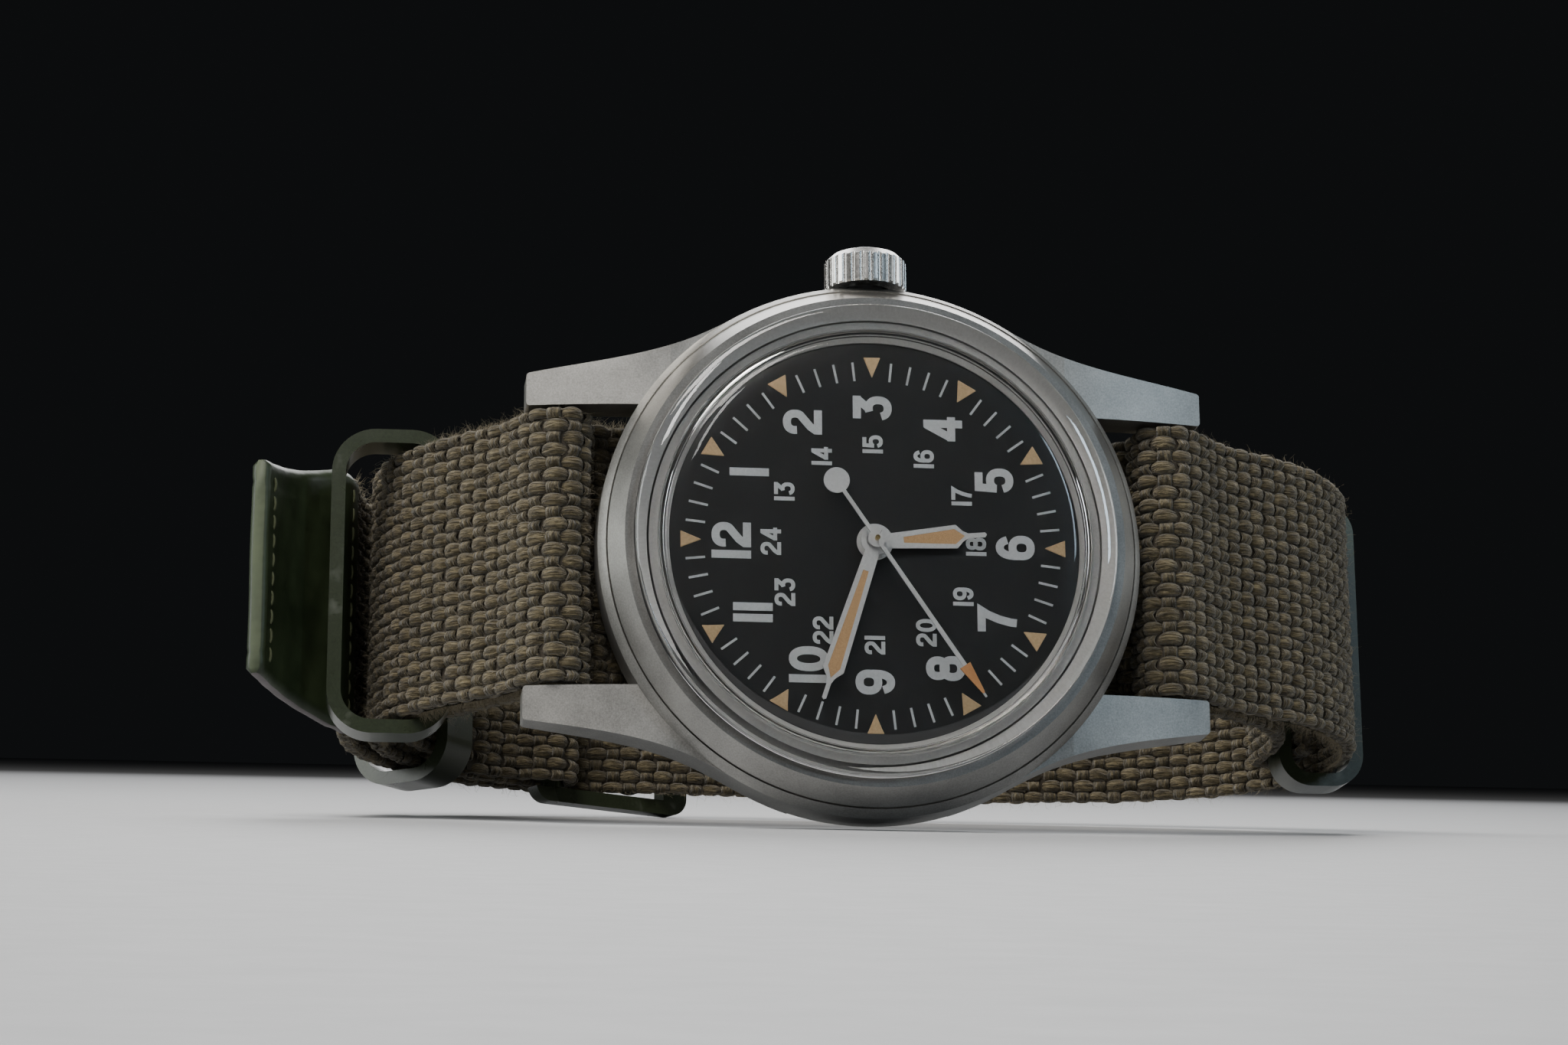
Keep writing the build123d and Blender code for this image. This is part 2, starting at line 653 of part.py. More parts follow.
# centre wheel: hollow arbor, the pinion that the barrel drives, and the wheel that drives the third pinion
with BuildPart() as centre_wheel:
    extrude_gear(CENTRE_TEETH, CENTRE_MODULE, -1.70, -1.55)
    spokes(1.1, 3.9, 0.5, -1.70, -1.55, 5)
    extrude_gear(CENTRE_PINION_TEETH, BARREL_MODULE, -2.05, -1.70)
    disc(CENTRE_ARBOR_R, -1.60, MINUTE_HAND_Z)
    disc(SECOND_ARBOR_R + 0.05, -2.05, MINUTE_HAND_Z, mode=Mode.SUBTRACT)
keep("centre_wheel", centre_wheel)

with BuildPart() as cannon_pinion:
    extrude_gear(CANNON_TEETH, CANNON_MODULE, -0.95, -0.71)
    disc(CANNON_TUBE_R, -0.75, MINUTE_HAND_Z + HAND_T)
    disc(CENTRE_ARBOR_R, -0.95, MINUTE_HAND_Z + HAND_T, mode=Mode.SUBTRACT)
keep("cannon_pinion", cannon_pinion)

with BuildPart() as minute_wheel:
    extrude_gear(MINUTE_TEETH, CANNON_MODULE, -0.93, -0.76, mesh_phase(MINUTE_TEETH, MINUTE_AT, CANNON_TEETH))
    extrude_gear(MINUTE_PINION_TEETH, HOUR_MODULE, -0.76, -0.52)
    disc(MINUTE_POST_R + 0.04, -0.93, -0.52, mode=Mode.SUBTRACT)
set_at("minute_wheel", minute_wheel, MINUTE_XY)

with BuildPart() as hour_wheel:
    hour_phase = mesh_phase(HOUR_TEETH, MINUTE_AT + 180, MINUTE_PINION_TEETH)
    extrude_gear(HOUR_TEETH, HOUR_MODULE, -0.67, -0.53, hour_phase)
    disc(HOUR_PIPE_R, -0.60, HOUR_HAND_Z + HAND_T)
    disc(CANNON_TUBE_R + 0.04, -0.67, HOUR_HAND_Z + HAND_T, mode=Mode.SUBTRACT)
keep("hour_wheel", hour_wheel)

with BuildPart() as third_wheel:
    phase = mesh_phase(THIRD_TEETH, THIRD_AT, SECOND_PINION_TEETH)
    extrude_gear(THIRD_TEETH, THIRD_MODULE, -2.87, -2.75, phase)
    spokes(0.8, 3.9, 0.45, -2.87, -2.75, 4)
    extrude_gear(THIRD_PINION_TEETH, CENTRE_MODULE, -1.78, ARBOR_HIGH,
                 mesh_phase(THIRD_PINION_TEETH, THIRD_AT, CENTRE_TEETH))
    arbor(ARBOR_LOW, ARBOR_HIGH, BRIDGE_PIVOT_Z, PLATE_PIVOT_Z)
set_at("third_wheel", third_wheel, THIRD_XY)

# seconds wheel: its long arbor passes through the hollow centre arbor to the seconds hand
with BuildPart() as seconds_wheel:
    extrude_gear(SECOND_TEETH, SECOND_MODULE, -2.64, -2.52)
    spokes(0.9, 4.1, 0.45, -2.64, -2.52, 5)
    extrude_gear(SECOND_PINION_TEETH, THIRD_MODULE, -2.92, -2.64)
    disc(SECOND_ARBOR_R, ARBOR_LOW, ARBOR_TOP_Z)
    disc(PIVOT_R, BRIDGE_PIVOT_Z, ARBOR_LOW)
keep("seconds_wheel", seconds_wheel)

with BuildPart() as escape_wheel:
    with BuildSketch(Plane.XY.offset(-1.92)):
        with BuildLine():
            outline = []
            for tooth in range(ESCAPE_TEETH):
                start = tooth * 360.0 / ESCAPE_TEETH
                for offset, radius in ((0, 0.80), (10, 0.99), (13, 1.0), (14.5, 0.95), (15, 0.80)):
                    outline.append(polar(ESCAPE_R * radius, start + offset))
            Polyline(*outline, close=True)
        make_face()
    extrude(amount=0.12)
    spokes(0.5, 1.2, 0.3, -1.92, -1.80, 4)
    extrude_gear(ESCAPE_PINION_TEETH, SECOND_MODULE, -2.68, -2.48,
                 mesh_phase(ESCAPE_PINION_TEETH, ESCAPE_AT, SECOND_TEETH))
    arbor(ARBOR_LOW, ARBOR_HIGH, BRIDGE_PIVOT_Z, PLATE_PIVOT_Z)
set_at("escape_wheel", escape_wheel, ESCAPE_XY)

# pallet fork: two arms to the escape wheel, one long arm to the balance
fork_to_wheel = Plane(
    origin=(FORK_XY[0], FORK_XY[1], -1.93),
    x_dir=(ESCAPE_XY[0] - FORK_XY[0], ESCAPE_XY[1] - FORK_XY[1], 0),
    z_dir=(0, 0, 1),
)
fork_to_balance = Plane(
    origin=(FORK_XY[0], FORK_XY[1], -1.93),
    x_dir=(BALANCE_XY[0] - FORK_XY[0], BALANCE_XY[1] - FORK_XY[1], 0),
    z_dir=(0, 0, 1),
)
FORK_REACH = between(FORK_XY, BALANCE_XY) - 0.80
with BuildPart() as pallet_fork:
    with BuildSketch(fork_to_wheel):
        Circle(0.42)
        for side in (-1, 1):
            with BuildLine():
                Polyline(
                    (-0.12, side * 0.25), (0.02, side * 1.22), (0.28, side * 1.22),
                    (0.10, side * 0.60), (0.0, side * 0.20), close=True,
                )
            make_face()
    extrude(amount=0.14)
    with BuildSketch(fork_to_balance):
        with Locations((FORK_REACH / 2, 0)):
            Rectangle(FORK_REACH, 0.28)
        with Locations((FORK_REACH - 0.15, 0)):
            Rectangle(0.30, 0.62)
        with Locations((FORK_REACH, 0)):
            Rectangle(0.5, 0.18, mode=Mode.SUBTRACT)
    extrude(amount=0.14)
    with BuildSketch(Plane.XY.offset(-2.30)):
        with Locations(FORK_XY):
            Circle(ARBOR_R)
    extrude(amount=2.30 + ARBOR_HIGH)
    with BuildSketch(Plane.XY.offset(-2.46)):
        with Locations(FORK_XY):
            Circle(PIVOT_R)
    extrude(amount=2.46 + PLATE_PIVOT_Z)
keep("pallet_fork", pallet_fork)

with BuildPart() as balance_wheel:
    disc(BALANCE_R, -2.90, -2.72)
    spokes(0.7, BALANCE_R - 0.40, 0.4, -2.90, -2.72, 3)
    disc(0.50, -2.20, -2.08)
    with BuildSketch(Plane.XY.offset(-2.10)):
        with Locations((0.38, 0)):
            Circle(0.07)
    extrude(amount=0.28)
    arbor(ARBOR_LOW, ARBOR_HIGH, BRIDGE_PIVOT_Z, PLATE_PIVOT_Z)
set_at("balance_wheel", balance_wheel, BALANCE_XY)


def spiral(start_r, end_r, turns, thickness, low, height):
    """A flat spiral spring round the Z axis, on the part that is open."""
    steps = int(turns * 28)
    route = []
    for index in range(steps + 1):
        part_way = index / steps
        route.append(polar(start_r + (end_r - start_r) * part_way, 360 * turns * part_way))
    outward = [polar(math.hypot(*spot) + thickness / 2, math.degrees(math.atan2(spot[1], spot[0])))
               for spot in route]
    inward = [polar(math.hypot(*spot) - thickness / 2, math.degrees(math.atan2(spot[1], spot[0])))
              for spot in route]
    with BuildSketch(Plane.XY.offset(low)) as section:
        with BuildLine():
            Polyline(*outward, *reversed(inward), close=True)
        make_face()
    extrude(section.sketch, amount=height)


with BuildPart() as hairspring:
    spiral(0.45, 1.90, 7, 0.05, -3.07, 0.09)
    with BuildSketch(Plane.XY.offset(-3.07)):
        Circle(0.48)
        Circle(ARBOR_R, mode=Mode.SUBTRACT)
    extrude(amount=0.09)
set_at("hairspring", hairspring, BALANCE_XY)

# barrel with its cover and mainspring, on the arbor that carries the ratchet wheel
with BuildPart() as barrel:
    disc(BARREL_R, -2.45, -1.80)
    disc(BARREL_R - 0.22, -2.45, -1.95, mode=Mode.SUBTRACT)
    phase = mesh_phase(BARREL_TEETH, BARREL_AT, CENTRE_PINION_TEETH)
    extrude_gear(BARREL_TEETH, BARREL_MODULE, -1.98, -1.80, phase)
    disc(BARREL_R - 0.22, -2.45, -1.95, mode=Mode.SUBTRACT)
    disc(BARREL_ARBOR_R + 0.04, -2.45, -1.80, mode=Mode.SUBTRACT)
set_at("barrel", barrel, BARREL_XY)

with BuildPart() as barrel_cover:
    disc(BARREL_R - 0.23, -2.45, -2.33)
    disc(BARREL_ARBOR_R + 0.04, -2.45, -2.33, mode=Mode.SUBTRACT)
set_at("barrel_cover", barrel_cover, BARREL_XY)

with BuildPart() as mainspring:
    spiral(0.80, BARREL_R - 0.40, 9, 0.16, -2.30, 0.30)
set_at("mainspring", mainspring, BARREL_XY)

with BuildPart() as barrel_arbor:
    disc(BARREL_ARBOR_R, RATCHET_LOW_Z, -1.10)
    disc(0.70, RATCHET_LOW_Z - 0.10, RATCHET_LOW_Z)
    with BuildSketch(Plane.XY.offset(RATCHET_LOW_Z - 0.10)):
        Rectangle(2.0, 0.2)
    extrude(amount=0.08, mode=Mode.SUBTRACT)
set_at("barrel_arbor", barrel_arbor, BARREL_XY)

with BuildPart() as ratchet_wheel:
    extrude_gear(RATCHET_TEETH, WINDING_MODULE, RATCHET_LOW_Z, RATCHET_HIGH_Z)
    disc(BARREL_ARBOR_R, RATCHET_LOW_Z, RATCHET_HIGH_Z, mode=Mode.SUBTRACT)
set_at("ratchet_wheel", ratchet_wheel, BARREL_XY)

with BuildPart() as crown_wheel:
    crown_wheel_phase = mesh_phase(CROWN_WHEEL_TEETH, CROWN_WHEEL_AT, RATCHET_TEETH)
    extrude_gear(CROWN_WHEEL_TEETH, WINDING_MODULE, RATCHET_LOW_Z, RATCHET_HIGH_Z, crown_wheel_phase)
    disc(0.59, RATCHET_LOW_Z, RATCHET_HIGH_Z, mode=Mode.SUBTRACT)
set_at("crown_wheel", crown_wheel, CROWN_WHEEL_XY)

# click and its spring, beside the ratchet wheel
with BuildPart() as click:
    with BuildSketch(Plane.XY.offset(RATCHET_LOW_Z + 0.03)):
        with Locations(CLICK_XY):
            Circle(0.55)
        with BuildLine():
            Polyline(
                (CLICK_XY[0] - 0.45, CLICK_XY[1] + 0.30),
                (CLICK_XY[0] + 0.10, CLICK_XY[1] + 1.75),
                (CLICK_XY[0] + 0.42, CLICK_XY[1] + 1.70),
                (CLICK_XY[0] + 0.50, CLICK_XY[1] + 0.10),
                close=True,
            )
        make_face()
    extrude(amount=0.17)
keep("click", click)

with BuildPart() as click_spring:
    with BuildSketch(Plane.XY.offset(RATCHET_LOW_Z + 0.03)):
        with BuildLine():
            FilletPolyline(
                (CLICK_XY[0] - 0.75, CLICK_XY[1] + 1.75),
                (CLICK_XY[0] - 1.05, CLICK_XY[1] - 0.6),
                (CLICK_XY[0] - 0.1, CLICK_XY[1] - 1.35),
                (CLICK_XY[0] + 0.9, CLICK_XY[1] - 1.9),
                radius=0.4,
            )
        trace(line_width=0.12)
        with Locations((CLICK_XY[0] + 1.0, CLICK_XY[1] - 1.95)):
            Circle(0.3)
    extrude(amount=RATCHET_HIGH_Z - RATCHET_LOW_Z + 0.01)
keep("click_spring", click_spring)

# keyless works: pinions on the stem, and the two levers under the dial
ALONG_STEM = Plane(origin=(0, 0, STEM_Z), x_dir=(1, 0, 0), z_dir=(0, 1, 0))
with BuildPart() as winding_pinion:
    with BuildSketch(ALONG_STEM.offset(8.75)):
        with BuildLine():
            Polyline(*gear_points(WINDING_TEETH, 0.135), close=True)
        make_face()
        Circle(STEM_R + 0.03, mode=Mode.SUBTRACT)
    extrude(amount=0.90)
keep("winding_pinion", winding_pinion)

with BuildPart() as sliding_pinion:
    with BuildSketch(ALONG_STEM.offset(7.45)):
        Circle(0.88)
        Circle(STEM_R + 0.03, mode=Mode.SUBTRACT)
    extrude(amount=1.20)
    with BuildSketch(ALONG_STEM.offset(7.85)):
        Circle(1.0)
        Circle(0.70, mode=Mode.SUBTRACT)
    extrude(amount=0.40, mode=Mode.SUBTRACT)
keep("sliding_pinion", sliding_pinion)

with BuildPart() as stem:
    with BuildSketch(ALONG_STEM.offset(6.5)):
        Circle(STEM_R)
    extrude(amount=CROWN_Y + 2.0 - 6.5)
    with BuildSketch(ALONG_STEM.offset(10.4)):
        Circle(1.0)
        Circle(0.36, mode=Mode.SUBTRACT)
    extrude(amount=0.5, mode=Mode.SUBTRACT)
keep("stem", stem)

with BuildPart() as setting_lever:
    with BuildSketch(Plane.XY.offset(LEVER_Z)):
        with Locations(SETTING_XY):
            Circle(0.55)
        with BuildLine():
            Polyline(
                (SETTING_XY[0], SETTING_XY[1] + 0.45),
                (-0.10, 10.55),
                (-0.20, 10.15),
                (SETTING_XY[0] - 0.1, SETTING_XY[1] - 0.40),
                close=True,
            )
        make_face()
    extrude(amount=LEVER_T)
keep("setting_lever", setting_lever)

with BuildPart() as yoke:
    with BuildSketch(Plane.XY.offset(LEVER_Z)):
        with Locations(YOKE_XY):
            Circle(0.5)
        with BuildLine():
            Polyline(
                (YOKE_XY[0] - 0.1, YOKE_XY[1] + 0.45),
                (-0.05, 8.30),
                (0.05, 7.90),
                (YOKE_XY[0] + 0.2, YOKE_XY[1] - 0.42),
                close=True,
            )
        make_face()
    extrude(amount=LEVER_T)
keep("yoke", yoke)

# ---------------------------------------------------------------- crown

with BuildPart() as crown:
    with BuildSketch(ALONG_STEM.offset(CROWN_Y)):
        Circle(CROWN_R)
        with PolarLocations(CROWN_R + 0.05, CROWN_FLUTES):
            Circle(0.20, mode=Mode.SUBTRACT)
    extrude(amount=CROWN_H)
    # domed, chamfered end: trim the fluted barrel with a turned outline
    with BuildSketch(Plane(origin=(0, CROWN_Y, STEM_Z), x_dir=(1, 0, 0), z_dir=(0, 0, 1))):
        with BuildLine():
            Polyline(
                (0, 0),
                (CROWN_R - 0.12, 0),
                (CROWN_R + 0.1, 0.2),
                (CROWN_R + 0.1, CROWN_H - 1.05),
                (CROWN_R - 0.55, CROWN_H - 0.42),
            )
            ThreePointArc((CROWN_R - 0.55, CROWN_H - 0.42), (1.2, CROWN_H - 0.08), (0, CROWN_H))
            Line((0, CROWN_H), (0, 0))
        make_face()
    revolve(axis=Axis((0, 0, STEM_Z), (0, 1, 0)), mode=Mode.INTERSECT)
    # bore for the tube and its seal, and the thread for the stem
    with BuildSketch(ALONG_STEM.offset(CROWN_Y)):
        Circle(CROWN_SEAL_R)
    extrude(amount=1.10, mode=Mode.SUBTRACT)
    with BuildSketch(ALONG_STEM.offset(CROWN_Y)):
        Circle(STEM_R)
    extrude(amount=2.0, mode=Mode.SUBTRACT)
keep("crown", crown)

with BuildPart() as crown_gasket:
    with BuildSketch(ALONG_STEM.offset(CROWN_Y + 0.20)):
        Circle(CROWN_SEAL_R)
        Circle(TUBE_R + 0.02, mode=Mode.SUBTRACT)
    extrude(amount=0.50)
keep("crown_gasket", crown_gasket)

# ---------------------------------------------------------------- hands

def hand_plane(angle, level):
    """Plane at a level whose X axis points the way a hand does, clockwise from 12."""
    turn = math.radians(angle)
    return Plane(origin=(0, 0, level), x_dir=(-math.cos(turn), math.sin(turn), 0), z_dir=(0, 0, 1))


def blade_points(start, root_half, wide_at, wide_half, neck_at, neck_half, tip_at):
    """Outline of a hand that widens, then steps down to a needle."""
    upper = [
        (start, root_half),
        (wide_at, wide_half),
        (wide_at + 0.55 * (neck_at - wide_at), 0.42 * wide_half),
        (neck_at, neck_half),
        (tip_at - 0.12, neck_half),
        (tip_at, 0.0),
    ]
    lower = [(x, -y) for x, y in reversed(upper[:-1])]
    return upper + lower


def slot_points(start, start_half, wide_at, wide_half, end):
    """Outline of the luminous filling inside a hand."""
    upper = [(start, start_half), (wide_at, wide_half)]
    lower = [(wide_at, -wide_half), (start, -start_half)]
    return upper + [(end, 0.0)] + lower


def framed_hand(plane, hub_r, hole_r, blade, slot):
    """A stamped hand with a window for its filling, on the part that is open."""
    with BuildSketch(plane) as frame:
        with BuildLine():
            Polyline(*blade, close=True)
        make_face()
        with BuildLine():
            Polyline(*slot, close=True)
        make_face(mode=Mode.SUBTRACT)
        Circle(hub_r)
        Circle(hole_r, mode=Mode.SUBTRACT)
    extrude(frame.sketch, amount=HAND_T)


def filling(plane, slot):
    """The luminous filling of a hand, on the part that is open."""
    with BuildSketch(plane.offset(0.02)) as inlay:
        with BuildLine():
            Polyline(*slot, close=True)
        make_face()
    extrude(inlay.sketch, amount=HAND_T - 0.05)


hour_plane = hand_plane(HOUR_ANGLE, HOUR_HAND_Z)
hour_blade = blade_points(1.0, 0.52, 5.72, 0.83, 6.55, 0.16, 7.85)
hour_slot = slot_points(2.0, 0.21, 5.60, 0.54, 6.30)
minute_plane = hand_plane(MINUTE_ANGLE, MINUTE_HAND_Z)
minute_blade = blade_points(0.8, 0.50, 9.68, 0.75, 10.65, 0.15, 11.85)
minute_slot = slot_points(2.3, 0.20, 9.50, 0.44, 10.30)

with BuildPart() as hour_hand:
    framed_hand(hour_plane, 1.27, HOUR_PIPE_R, hour_blade, hour_slot)
keep("hour_hand", hour_hand)
with BuildPart() as hour_lume:
    filling(hour_plane, hour_slot)
keep("hour_lume", hour_lume)
with BuildPart() as minute_hand:
    framed_hand(minute_plane, 1.04, CANNON_TUBE_R, minute_blade, minute_slot)
keep("minute_hand", minute_hand)
with BuildPart() as minute_lume:
    filling(minute_plane, minute_slot)
keep("minute_lume", minute_lume)

second_plane = hand_plane(SECOND_ANGLE, SECOND_HAND_Z)
with BuildPart() as seconds_hand:
    with BuildSketch(second_plane):
        Circle(0.61)
        with Locations((-4.91, 0)):
            Circle(0.90)
        with BuildLine():
            Polyline((-4.5, 0.13), (10.62, 0.15), (10.62, -0.15), (-4.5, -0.13), close=True)
        make_face()
        Circle(SECOND_ARBOR_R, mode=Mode.SUBTRACT)
    extrude(amount=0.12)
    with BuildSketch(second_plane.offset(-0.28)):
        Circle(0.36)
        Circle(SECOND_ARBOR_R, mode=Mode.SUBTRACT)
    extrude(amount=0.29)
keep("seconds_hand", seconds_hand)

with BuildPart() as seconds_tip:
    with BuildSketch(second_plane):
        with BuildLine():
            Polyline((10.62, 0.42), (12.85, 0.09), (12.92, 0.0), (12.85, -0.09), (10.62, -0.42), close=True)
        make_face()
    extrude(amount=0.12)
keep("seconds_tip", seconds_tip)

# ---------------------------------------------------------------- strap

# routes of the middle line of each band, as X, Z points
# the long canvas: round the buckle's bar, over the 12 o'clock spring bar, behind the case, over the
# 6 o'clock spring bar, round the back of the loop and through the buckle
CANVAS_ROUTE = [
    (-26.4, -34.35), (-24.1, -35.85), (-21.7, -36.7), (-19.32, -36.82), (-18.29, -37.48), (-18.02, -38.68),
    (-18.68, -39.71), (-19.88, -39.97), (-22.7, -38.8), (-27.0, -36.0), (-30.3, -32.6), (-32.7, -28.2),
    (-33.6, -23.2), (-33.3, -18.8), (-32.3, -15.3), (-30.4, -12.0), (-27.6, -8.8), (-24.9, -5.6),
    (-23.3, -2.7), (-21.3, -1.75), (-19.95, -2.9), (-19.9, -4.75), (-18.9, -6.1), (-16.4, -6.5),
    (-10.0, -6.3), (0.0, -6.25), (10.0, -6.3), (16.4, -6.5), (18.9, -6.1), (19.9, -4.75),
    (19.95, -2.9), (21.3, -1.75), (23.5, -2.7), (25.4, -5.0), (28.4, -7.4), (33.0, -10.6),
    (36.9, -15.3), (39.0, -20.6), (39.3, -25.8), (38.4, -31.2), (35.2, -36.3), (29.5, -40.0),
    (20.5, -42.1), (10.0, -42.75), (0.0, -42.5), (-6.0, -41.95), (-10.5, -41.6), (-15.0, -41.5),
    (-19.6, -41.6), (-23.5, -40.5), (-27.1, -38.35), (-30.5, -35.3), (-33.2, -31.8), (-34.9, -28.0),
    (-35.6, -24.5), (-35.85, -21.6),
]
# the leather end of the canvas, which turns out behind the front keeper
LEATHER_ROUTE = [
    (-35.86, -21.5), (-36.5, -19.6), (-37.9, -18.1), (-39.5, -16.4), (-40.8, -14.2), (-41.7, -12.0),
    (-42.3, -10.2),
]
# the short band against the wrist, sewn round its own metal loop at 6 o'clock
UNDER_ROUTE = [
    (-27.4, -33.2), (-29.5, -30.7), (-30.9, -27.5), (-31.2, -24.0), (-30.0, -20.4), (-27.6, -17.1),
    (-24.8, -13.3), (-21.0, -10.0), (-15.5, -8.5), (0.0, -8.1), (15.5, -8.5), (21.5, -9.7),
    (27.5, -12.6), (31.8, -16.6), (33.8, -21.2), (34.15, -25.5), (34.15, -29.0), (34.55, -29.95),
    (35.5, -30.35), (36.45, -29.95), (36.85, -29.0), (36.87, -26.8), (36.87, -24.5),
]
# X and Z limits of the notch in the fold round the bar and of the slot in the passing layer
TONGUE_SLOTS = (((-21.0, -17.0), (-40.72, -36.9)), ((-18.2, -12.8), (-43.0, -40.72)))
# centre, direction of the bands, clear opening and its corner radius
FRONT_KEEPER = ((-32.8, -14.9), (0.0, -1.0), 6.9, 2.2)
REAR_KEEPER = ((-30.5, -32.75), (0.62, -0.785), 6.8, 2.2)
UNDER_LOOP = ((38.35, -27.3), (-0.02, -1.0), 4.6, 1.5)

with BuildPart() as strap_canvas:
    strip(CANVAS_ROUTE, STRAP_T, STRAP_W)
    # a notch in the fold round the bar and a slot in the passing layer, for the buckle's tongue
    for (left, right), (bottom, top) in TONGUE_SLOTS:
        with BuildSketch(Plane.XZ):
            with Locations(((left + right) / 2, (bottom + top) / 2)):
                Rectangle(right - left, top - bottom)
        extrude(amount=TONGUE_W / 2 + 0.4, both=True, mode=Mode.SUBTRACT)
keep("strap_canvas", strap_canvas)

with BuildPart() as strap_leather_end:
    strip(LEATHER_ROUTE, LEATHER_T, LEATHER_W)
    # the last stretch tapers to a blunt tip
    with BuildSketch(Plane.XY):
        for side in (-1, 1):
            with BuildLine():
                Polyline(
                    (-37.0, side * (LEATHER_W / 2 + 0.01)),
                    (-43.0, side * LEATHER_TIP_HALF),
                    (-43.0, side * (LEATHER_W / 2 + 2)),
                    (-37.0, side * (LEATHER_W / 2 + 2)),
                    close=True,
                )
            make_face()
    extrude(amount=-25, mode=Mode.SUBTRACT)
keep("strap_leather_end", strap_leather_end)

with BuildPart() as under_strap:
    strip(UNDER_ROUTE, STRAP_T, UNDER_W)
keep("under_strap", under_strap)

with BuildPart() as front_keeper:
    metal_loop(*FRONT_KEEPER)
keep("front_keeper", front_keeper)

with BuildPart() as rear_keeper:
    metal_loop(*REAR_KEEPER)
keep("rear_keeper", rear_keeper)

with BuildPart() as under_strap_loop:
    metal_loop(*UNDER_LOOP)
keep("under_strap_loop", under_strap_loop)

# buckle: a frame whose plane runs from the pin bar to the far side, with Y across the strap
buckle_run = Vector(BUCKLE_FAR[0] - BUCKLE_BAR[0], 0, BUCKLE_FAR[1] - BUCKLE_BAR[1])
buckle_plane = Plane(
    origin=(BUCKLE_BAR[0], 0, BUCKLE_BAR[1]),
    x_dir=buckle_run,
    z_dir=Vector(buckle_run.Z, 0, -buckle_run.X),
)
BUCKLE_LENGTH = buckle_run.length
with BuildPart() as buckle_frame:
    with BuildSketch(buckle_plane.offset(-BUCKLE_FRAME_T / 2)):
        with Locations((BUCKLE_LENGTH / 2 - 0.2, 0)):
            RectangleRounded(BUCKLE_LENGTH + 3.0, 2 * BUCKLE_HALF, 1.4)
        with Locations((BUCKLE_LENGTH / 2 - 0.85, 0)):
            Rectangle(BUCKLE_LENGTH, 2 * BUCKLE_RAIL_Y, mode=Mode.SUBTRACT)
        with Locations((-1.2, 0)):
            Rectangle(2.0, 2 * BUCKLE_RAIL_Y, mode=Mode.SUBTRACT)
    extrude(amount=BUCKLE_FRAME_T)
    ACROSS_BAR = Plane(origin=(BUCKLE_BAR[0], 0, BUCKLE_BAR[1]), x_dir=(1, 0, 0), z_dir=(0, 1, 0))
    with BuildSketch(ACROSS_BAR):
        Circle(0.5)
    extrude(amount=BUCKLE_HALF + 1, both=True, mode=Mode.SUBTRACT)
keep("buckle_frame", buckle_frame)

with BuildPart() as buckle_bar:
    with BuildSketch(ACROSS_BAR):
        Circle(BUCKLE_BAR_R)
    extrude(amount=BUCKLE_RAIL_Y - 0.03, both=True)
    with BuildSketch(ACROSS_BAR):
        Circle(0.48)
    extrude(amount=BUCKLE_HALF, both=True)
keep("buckle_bar", buckle_bar)

# the tongue turns on the bar and lies on the outer face of the frame's far side
TONGUE_REACH = BUCKLE_LENGTH + 1.0
tongue_drop = BUCKLE_FRAME_T / 2 + TONGUE_T / 2 + 0.10
tongue_plane = Plane(
    origin=(BUCKLE_BAR[0], 0, BUCKLE_BAR[1]),
    x_dir=buckle_plane.x_dir * BUCKLE_LENGTH + buckle_plane.z_dir * tongue_drop,
    z_dir=(0, 1, 0),
)
with BuildPart() as buckle_tongue:
    with BuildSketch(tongue_plane.offset(-TONGUE_W / 2)):
        Circle(TONGUE_HUB_R)
        with Locations((TONGUE_REACH / 2, 0)):
            Rectangle(TONGUE_REACH, TONGUE_T)
        with Locations((TONGUE_REACH, 0)):
            Circle(TONGUE_T / 2)
        Circle(BUCKLE_BAR_R + 0.04, mode=Mode.SUBTRACT)
    extrude(amount=TONGUE_W)
keep("buckle_tongue", buckle_tongue)

# ---------------------------------------------------------------- standing the watch up

# the watch rests on the lower edge of its flank and on the lower side of the buckle's frame
LEAN = math.degrees(math.atan2(CASE_R - BUCKLE_HALF, FLANK_Z - BUCKLE_FAR[1]))
upright = Rot(90 - LEAN, 0, 0)
standing = {name: upright * shape for name, shape in pieces.items()}
boxes = [shape.bounding_box() for shape in standing.values()]
settle = Pos(
    -(min(box.min.X for box in boxes) + max(box.max.X for box in boxes)) / 2,
    -(min(box.min.Y for box in boxes) + max(box.max.Y for box in boxes)) / 2,
    -min(box.min.Z for box in boxes),
)

os.makedirs("parts", exist_ok=True)
for name, shape in standing.items():
    piece = settle * shape
    piece.label = name
    export_step(piece, f"parts/{name}.step")
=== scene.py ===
import json
import math

import bpy
import numpy as np
from mathutils import Matrix, Vector


